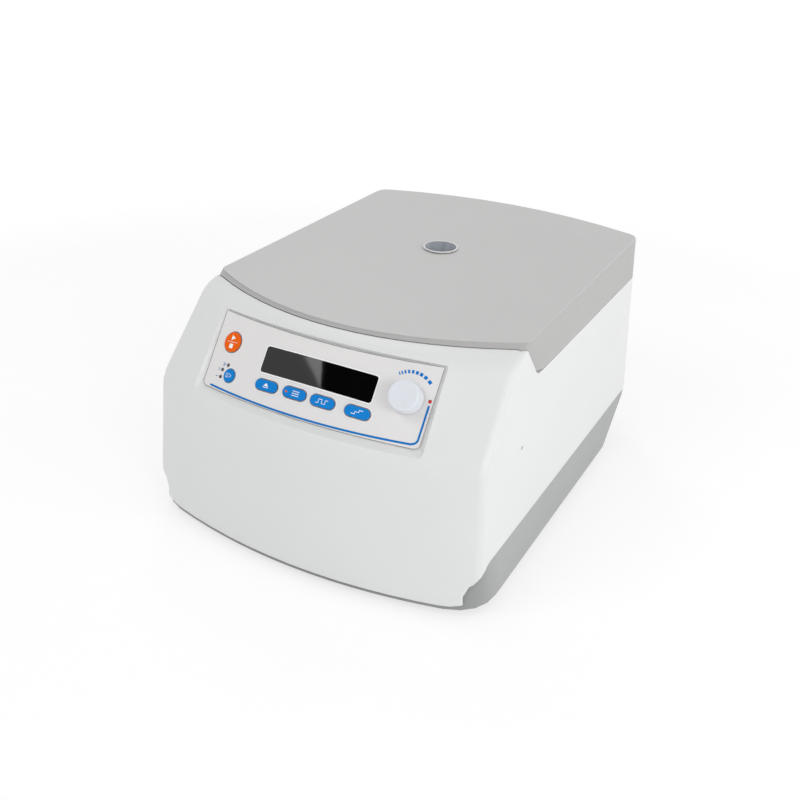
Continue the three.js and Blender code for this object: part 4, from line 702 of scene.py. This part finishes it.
ringReach = keyPlan["gap"] + keyPlan["ringWidth"] / 2
haloReach = ringReach + keyPlan["halo"]
haloRings = roundRings(haloReach) + pillRings(haloReach)
onFoil(inkLine("roundKeyRings", roundRings(ringReach), keyPlan["ringWidth"] * mm, True), "printSlate")
onFoil(inkLine("pillKeyRings", pillRings(ringReach), keyPlan["ringWidth"] * mm, True), "printTan")
onFoil(inkLine("keyHalos", haloRings, keyPlan["halo"] * mm, True), "printWhite")


lampPlan = {"run": (94.3, 9.9), "brake": ((-81.0, -6.3), (-85.5, -10.9), (-85.3, -16.8)),
            "ring": 1.75, "ringWidth": 0.6}  # in millimetres
lampRing = arc(*lampPlan["run"], lampPlan["ring"], 0, 360, 24)[:-1]
onFoil(inkLine("runLampRing", inMetres([lampRing]), lampPlan["ringWidth"] * mm, True), "printWhite")

arrowPlan = {"offset": 2.9, "pitch": 1.5, "length": 1.1, "rise": 1.25, "bar": 2.3, "width": 0.5,
             "counts": (2, 1, 0)}  # in millimetres


def brakeMarks():  # two arrows for fast, one for slow, a bar for none, left of their lamps
    lines = []
    for (x, s), count in zip(lampPlan["brake"], arrowPlan["counts"]):
        right = x - arrowPlan["offset"]
        for number in range(count):
            tip = right - number * arrowPlan["pitch"]
            tail, rise = tip - arrowPlan["length"], arrowPlan["rise"]
            lines.append([(tail, s + rise), (tip, s), (tail, s - rise)])
        if not count:
            lines.append([(right - arrowPlan["bar"], s), (right, s)])
    return inMetres(lines)


onFoil(inkLine("brakeMarks", brakeMarks(), arrowPlan["width"] * mm), "printBlue")
print("foil printed")


# Symbols on the key caps, drawn flat round the middle of each cap in millimetres

keyBodies = {"runKey": "run_key_cap", "brakeKey": "brake_key_cap", "doorKey": "door_key_cap",
             "orderKey": "order_key_cap", "pulseKey": "pulse_key_cap", "programKey": "program_key_cap"}
symbolPlan = {
    "runSymbol": {  # start over stop
        "key": "runKey", "width": 0.35, "lines": [[(-5.2, 0), (5.2, 0)]],
        "patches": [[(-1.6, 1.2), (2.4, 3.4), (-1.6, 5.6)],
                    [(-1.8, -5.2), (1.8, -5.2), (1.8, -1.6), (-1.8, -1.6)]]},
    "brakeSymbol": {
        "key": "brakeKey", "width": 0.5,
        "lines": [[(-2.6, -1.6), (-2.6, 1.6), (-0.9, 1.6), (-0.9, -1.6), (-2.6, -1.6)],
                  [(0.5, 1.6), (2.5, 0), (0.5, -1.6)]]},
    "doorSymbol": {  # open
        "key": "doorKey", "width": 0.6, "lines": [[(-2.6, -1.5), (2.6, -1.5)]],
        "patches": [[(-2.4, -0.5), (2.4, -0.5), (0, 2.0)]]},
    "orderSymbol": {  # a list
        "key": "orderKey", "width": 0.6,
        "lines": [[(-1.6, level), (4.6, level)] for level in (1.7, 0, -1.7)]},
    "orderDot": {
        "key": "orderKey", "look": "keyOrange", "patches": [arc(-7.2, -0.1, 0.95, 0, 360, 16)[:-1]]},
    "pulseSymbol": {
        "key": "pulseKey", "width": 0.6,
        "lines": [[(-5.2, -1.5), (-3.1, -1.5), (-3.1, 1.6), (-0.2, 1.6),
                   (-0.2, -1.5), (2.7, -1.5), (2.7, 1.6), (4.9, 1.6)]]},
    "programSymbol": {  # steps
        "key": "programKey", "width": 0.65,
        "lines": [[(-4.6, -1.7), (-1.6, -1.7), (-1.6, 0.1), (1.5, 0.1), (1.5, 1.8), (4.6, 1.8)]]},
}


def capSymbol(name, key, width=0, lines=(), patches=(), look="printWhite"):
    pieces = []
    if lines:
        pieces.append(inkLine(name + "Lines", inMetres(lines), width * mm))
    if patches:
        pieces.append(inkPatch(name + "Patch", inMetres(patches)))
    piece = joined(pieces, name) if len(pieces) > 1 else pieces[0]
    piece.name = name
    x, s = keyPlan[key][:2]
    placeAt(piece, panelPlace(x * mm, s * mm, panel["capHeight"]))
    return putOn(piece, keyBodies[key], look)


for name, plan in symbolPlan.items():
    capSymbol(name, **plan)
print("key symbols placed")


# The turning knob: a tapered cap with a soft edge, hollow below for its encoder

def makeKnob():
    deselectAll()
    height = knobPlan["high"] - knobPlan["low"]
    bpy.ops.mesh.primitive_cone_add(
        vertices=96, radius1=knobPlan["footRadius"], radius2=knobPlan["topRadius"], depth=height,
        location=(0, 0, knobPlan["low"] + height / 2))
    piece = applyPlace(newPiece("speedKnob"))
    bpy.ops.object.mode_set(mode="EDIT")
    selectFaces(piece, lambda middle, normal: normal.z < -0.9)
    bpy.ops.mesh.inset(thickness=knobPlan["footRadius"] - knobPlan["recessRadius"])
    slide(0, 0, knobPlan["recessDepth"])
    bpy.ops.mesh.inset(thickness=knobPlan["recessRadius"] - knobPlan["boreRadius"])
    slide(0, 0, knobPlan["boreDepth"] - knobPlan["recessDepth"])
    selectFaces(piece, lambda middle, normal: normal.z > 0.9)
    bpy.ops.mesh.bevel(offset=knobPlan["edgeRound"], segments=5, affect="EDGES")
    selectFaces(piece, lambda middle, normal: normal.z > 0.999 and middle.z > knobPlan["high"] - 0.01 * mm)
    bpy.ops.mesh.inset(thickness=knobPlan["rim"])
    for width, drop in knobPlan["dish"]:
        bpy.ops.mesh.inset(thickness=width)
        bpy.ops.transform.translate(value=(0, 0, -drop))
    bpy.ops.object.mode_set(mode="OBJECT")
    bpy.ops.object.shade_smooth_by_angle(angle=math.radians(32))
    placeAt(piece, panelPlace(knobPlan["x"], knobPlan["s"]))
    putOn(piece, "knob", "knobPearl")
    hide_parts("speed_knob")
    return piece


makeKnob()
print("knob made")


# Screws of the lid's liner, seen when the lid is open

screwPlan = {"headRadius": 3.1 * mm, "headHeight": 1.8 * mm, "socketRadius": 1.6 * mm, "roundShare": 0.22,
             "socketShare": 0.55, "sunk": 0.02 * mm,
             "places": ((-100, -60.6), (100, -60.6), (-100, 137.4), (100, 137.4))}  # x and y in millimetres


def makeScrew(name, place, body):
    headRadius, headHeight = screwPlan["headRadius"], screwPlan["headHeight"]
    edgeRound = headHeight * screwPlan["roundShare"]
    deselectAll()
    bpy.ops.mesh.primitive_cylinder_add(vertices=24, radius=headRadius, depth=headHeight,
                                        location=(0, 0, headHeight / 2))
    piece = applyPlace(newPiece(name))
    bpy.ops.object.mode_set(mode="EDIT")
    selectFaces(piece, lambda middle, normal: normal.z > 0.9)
    bpy.ops.mesh.bevel(offset=edgeRound, segments=2, affect="EDGES")
    selectFaces(piece, lambda middle, normal: normal.z > 0.99 and middle.z > headHeight * 0.99)
    bpy.ops.mesh.inset(thickness=headRadius - edgeRound - screwPlan["socketRadius"])
    slide(0, 0, -headHeight * screwPlan["socketShare"])
    bpy.ops.object.mode_set(mode="OBJECT")
    bpy.ops.object.shade_smooth_by_angle(angle=math.radians(40))
    placeAt(piece, place)
    return putOn(piece, body, "zincPlated")


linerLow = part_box("lid_liner")[0][2]
for number, (x, y) in enumerate(screwPlan["places"]):
    seat = Matrix.Translation((x * mm, y * mm, linerLow + screwPlan["sunk"]))
    makeScrew("linerScrew%d" % (number + 1), seat @ Matrix.Rotation(math.pi, 4, "X"), "lid")
print("liner screws made")


# Numbers of the rotor's wells, raised on its cone above each sleeve

numeral = {"size": 5.2 * mm, "radius": 64.5 * mm, "seatRadius": 48 * mm, "seatLevel": 141 * mm,
           "tilt": math.radians(35), "thickness": 0.12 * mm}


def makeNumeral(number):
    sleeveLow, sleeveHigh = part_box("tube_sleeve_%d" % number)
    sleeveMiddle = (sleeveLow + sleeveHigh) / 2
    angle = math.atan2(sleeveMiddle[1] - rotorMiddle[1], sleeveMiddle[0] - rotorMiddle[0])
    out = Vector((math.cos(angle), math.sin(angle), 0))
    up = out * math.cos(numeral["tilt"]) + Vector((0, 0, math.sin(numeral["tilt"])))
    away = Vector((0, 0, math.cos(numeral["tilt"]))) - out * math.sin(numeral["tilt"])
    beside = up.cross(away)
    level = numeral["seatLevel"] + (numeral["radius"] - numeral["seatRadius"]) * math.tan(numeral["tilt"])
    spot = Vector((rotorMiddle[0], rotorMiddle[1], level)) + out * numeral["radius"]
    deselectAll()
    bpy.ops.object.text_add(location=(0, 0, 0))
    text = newPiece("rotorNumeral%d" % number)
    text.data.body = str(number)
    text.data.size = numeral["size"]
    text.data.align_x = "CENTER"
    text.data.align_y = "CENTER"
    text.data.extrude = numeral["thickness"]
    bpy.ops.object.convert(target="MESH")
    piece = newPiece("rotorNumeral%d" % number)
    placeAt(piece, Matrix.Translation(spot) @ Matrix((beside, up, away)).transposed().to_4x4())
    return putOn(piece, "rotor", "blackPlastic")


for number in range(1, 9):
    makeNumeral(number)
print("rotor numbered")


# The generic on and off signs on the mains rocker

rockerLow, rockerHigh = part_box("power_rocker")
rockerMiddle = (rockerLow + rockerHigh) / 2
rockerMarks = {"line": 5.5, "ring": 2.1, "width": 0.7, "spread": 6.2, "lift": 0.04}  # in millimetres


def rockerSurface(level):  # a point on the rocker's face and the way up along it
    hits = [face for face in skins["power_rocker"].data.polygons
            if face.normal.y > 0.8 and abs(face.normal.x) < 0.2]
    nearest = min(hits, key=lambda face: abs(face.center.z - level))
    up = Vector((0, -nearest.normal.z, nearest.normal.y)).normalized()
    along = (level - nearest.center.z) / up.z
    return nearest.center + up * along + nearest.normal * rockerMarks["lift"] * mm, up


def makeRockerMark(name, line, level, cyclic):
    piece = inkLine(name, inMetres([line]), rockerMarks["width"] * mm, cyclic)
    spot, up = rockerSurface(rockerMiddle[2] + level * mm)
    across = Vector((-1, 0, 0))
    place = Matrix((across, up, across.cross(up))).transposed().to_4x4()
    placeAt(piece, Matrix.Translation((rockerMiddle[0], spot.y, spot.z)) @ place)
    return putOn(piece, "rocker", "printWhite")


onLine = [(0, -rockerMarks["line"] / 2), (0, rockerMarks["line"] / 2)]
offRing = arc(0, 0, rockerMarks["ring"], 0, 360, 24)[:-1]
makeRockerMark("onMark", onLine, rockerMarks["spread"], False)
makeRockerMark("offMark", offRing, -rockerMarks["spread"], True)
print("switch marks made")


# Camera, floor and light

camera = {"place": (0.360985, -0.717687, 0.492427), "lens": 43.082, "sensor": 36, "picture": 800}
cameraAxes = Matrix((  # its columns point right, up and back
    (0.876015, -0.251945, 0.411243),
    (0.481221, 0.400042, -0.779995),
    (0.032001, 0.881187, 0.471684),
))
bpy.ops.object.camera_add(location=camera["place"])
photoCamera = bpy.context.view_layer.objects.active
photoCamera.name = "photoCamera"
photoCamera.rotation_mode = "QUATERNION"
photoCamera.rotation_quaternion = cameraAxes.to_quaternion()
photoCamera.data.sensor_width = camera["sensor"]
photoCamera.data.lens = camera["lens"]
photoCamera.data.clip_start = 0.01
photoCamera.data.clip_end = 200
scene = bpy.context.scene
scene.camera = photoCamera
scene.view_settings.view_transform = "Standard"

studio = {
    "aim": (0, 0, 0.1), "distance": 2.0, "roomStrength": 0.55,
    "floorSize": 60.0, "floorNear": 0.62, "floorWhiteFrom": 0.75, "floorWhiteTo": 1.35, "floorStrength": 1.08,
    "lamps": {
        "keyLamp": {"toward": (0.74, -0.53, 0.42), "size": 0.6, "power": 5.9},
        "sideLamp": {"toward": (0.97, -0.1, 0.2), "size": 0.6, "power": 6.9},
        "fillLamp": {"toward": (-0.35, -0.6, 0.72), "size": 0.9, "power": 7.1},
        "rimLamp": {"toward": (0.45, 0.78, 0.39), "size": 0.45, "power": 3.0},
        "topLamp": {"toward": (-0.41, 0.53, 0.74), "size": 0.5, "power": 3.5},
    },
}


def seenDirectly(tree):  # 1 for camera, glossy and transmission rays
    path = tree.nodes.new("ShaderNodeLightPath")
    either = addNode(tree, "ShaderNodeMath")
    either.operation = "MAXIMUM"
    anyOfThree = addNode(tree, "ShaderNodeMath")
    anyOfThree.operation = "MAXIMUM"
    tree.links.new(path.outputs["Is Camera Ray"], either.inputs[0])
    tree.links.new(path.outputs["Is Glossy Ray"], either.inputs[1])
    tree.links.new(either.outputs[0], anyOfThree.inputs[0])
    tree.links.new(path.outputs["Is Transmission Ray"], anyOfThree.inputs[1])
    return anyOfThree.outputs[0]


world = bpy.data.worlds.new("softRoom")
scene.world = world
world.use_nodes = True
worldTree = world.node_tree
worldTree.nodes.clear()
roomLight = addNode(worldTree, "ShaderNodeBackground", Strength=studio["roomStrength"])
roomLight.inputs["Color"].default_value = (0.985, 0.99, 1.0, 1)
whiteView = addNode(worldTree, "ShaderNodeBackground", Strength=1.0)
whiteView.inputs["Color"].default_value = (1, 1, 1, 1)
roomMix = worldTree.nodes.new("ShaderNodeMixShader")
worldOutput = worldTree.nodes.new("ShaderNodeOutputWorld")
worldTree.links.new(seenDirectly(worldTree), roomMix.inputs[0])
worldTree.links.new(roomLight.outputs[0], roomMix.inputs[1])
worldTree.links.new(whiteView.outputs[0], roomMix.inputs[2])
worldTree.links.new(roomMix.outputs[0], worldOutput.inputs["Surface"])

bpy.ops.mesh.primitive_plane_add(size=studio["floorSize"], location=(0, 0, 0))
floor = applyPlace(newPiece("studioFloor"))
floorMaterial = plainMaterial("floorWhite", "fdfdfd", 0.9)
floorTree, floorShader = nodeTree(floorMaterial)
floorGlow = addNode(floorTree, "ShaderNodeEmission", Strength=studio["floorStrength"])
floorGlow.inputs["Color"].default_value = (1, 1, 1, 1)
floorReach = floorTree.nodes.new("ShaderNodeVectorMath")
floorReach.operation = "LENGTH"
floorTree.links.new(objectSpot(floorTree), floorReach.inputs[0])
floorFade = addNode(floorTree, "ShaderNodeMapRange", From_Min=studio["floorWhiteFrom"],
                    From_Max=studio["floorWhiteTo"], To_Min=studio["floorNear"], To_Max=1.0)
floorTree.links.new(floorReach.outputs["Value"], floorFade.inputs["Value"])
floorShare = addNode(floorTree, "ShaderNodeMath")
floorShare.operation = "MULTIPLY"
floorTree.links.new(seenDirectly(floorTree), floorShare.inputs[0])
floorTree.links.new(floorFade.outputs["Result"], floorShare.inputs[1])
floorMix = floorTree.nodes.new("ShaderNodeMixShader")
floorTree.links.new(floorShare.outputs[0], floorMix.inputs[0])
floorTree.links.new(floorShader.outputs[0], floorMix.inputs[1])
floorTree.links.new(floorGlow.outputs[0], floorMix.inputs[2])
floorTree.links.new(floorMix.outputs[0], floorTree.nodes["Material Output"].inputs["Surface"])
paint(floor, floorMaterial)

for name, plan in studio["lamps"].items():
    toward = Vector(plan["toward"]).normalized()
    bpy.ops.object.light_add(type="AREA", location=Vector(studio["aim"]) + toward * studio["distance"])
    lamp = newPiece(name)
    lamp.rotation_mode = "QUATERNION"
    lamp.rotation_quaternion = toward.to_track_quat("Z", "Y")
    lamp.data.shape = "SQUARE"
    lamp.data.size = plan["size"]
    lamp.data.energy = plan["power"]

# A dark card, seen only in reflections, darkens the right part of the display
cardPlan = {"distance": 0.8, "width": 0.9, "height": 0.5, "paneHeight": 1 * mm,
            "splitPixels": ((320.5, 360.6), (322.3, 389.7))}  # where the dark part starts on the display
displayMiddle = panelSpot(displayPlan["x"], displayPlan["s"], cardPlan["paneHeight"])


def mirroredRay(pixel):  # from a photograph pixel to the display, then on by reflection
    focal = camera["picture"] * camera["lens"] / camera["sensor"]
    half = camera["picture"] / 2
    right, up, back = (Vector(column) for column in cameraAxes.transposed())
    ray = (right * (pixel[0] - half) / focal - up * (pixel[1] - half) / focal - back).normalized()
    eye = Vector(camera["place"])
    spot, out = displayMiddle, Vector((0, 0, 1))
    for _ in range(6):  # the pane is bent, so its point and its normal are found step by step
        turn = math.asin(spot.x / panel["bend"])
        out = Vector((math.sin(turn), -math.cos(turn) * math.sin(panel["tilt"]),
                      math.cos(turn) * math.cos(panel["tilt"])))
        low = panelSpot(turn * panel["bend"], 0, cardPlan["paneHeight"])
        spot = eye + ray * ((low - eye).dot(out) / ray.dot(out))
    return spot, ray - 2 * ray.dot(out) * out


edgeRays = [mirroredRay(pixel) for pixel in cardPlan["splitPixels"]]
cardOut = (edgeRays[0][1] + edgeRays[1][1]).normalized()
edgeTop, edgeLow = (spot + ray * (cardPlan["distance"] / ray.dot(cardOut)) for spot, ray in edgeRays)
cardUp = (edgeTop - edgeLow).normalized()
cardAcross = cardUp.cross(cardOut).normalized()
if cardAcross.x < 0:
    cardAcross = -cardAcross
edgeMiddle = (edgeTop + edgeLow) / 2
bpy.ops.mesh.primitive_plane_add(size=1, location=(0, 0, 0))
card = newPiece("darkCard")
card.matrix_world = Matrix.Translation(edgeMiddle + cardAcross * cardPlan["width"] / 2) @ Matrix((
    cardAcross * cardPlan["width"], cardUp * cardPlan["height"], cardAcross.cross(cardUp),
)).transposed().to_4x4()
applyPlace(card)
paint(card, plainMaterial("cardBlack", "000000", 1.0))
for ray in ("camera", "diffuse", "shadow", "transmission", "volume_scatter"):
    setattr(card, "visible_" + ray, False)
print("camera, floor, lamps and card set")


print("finishing")
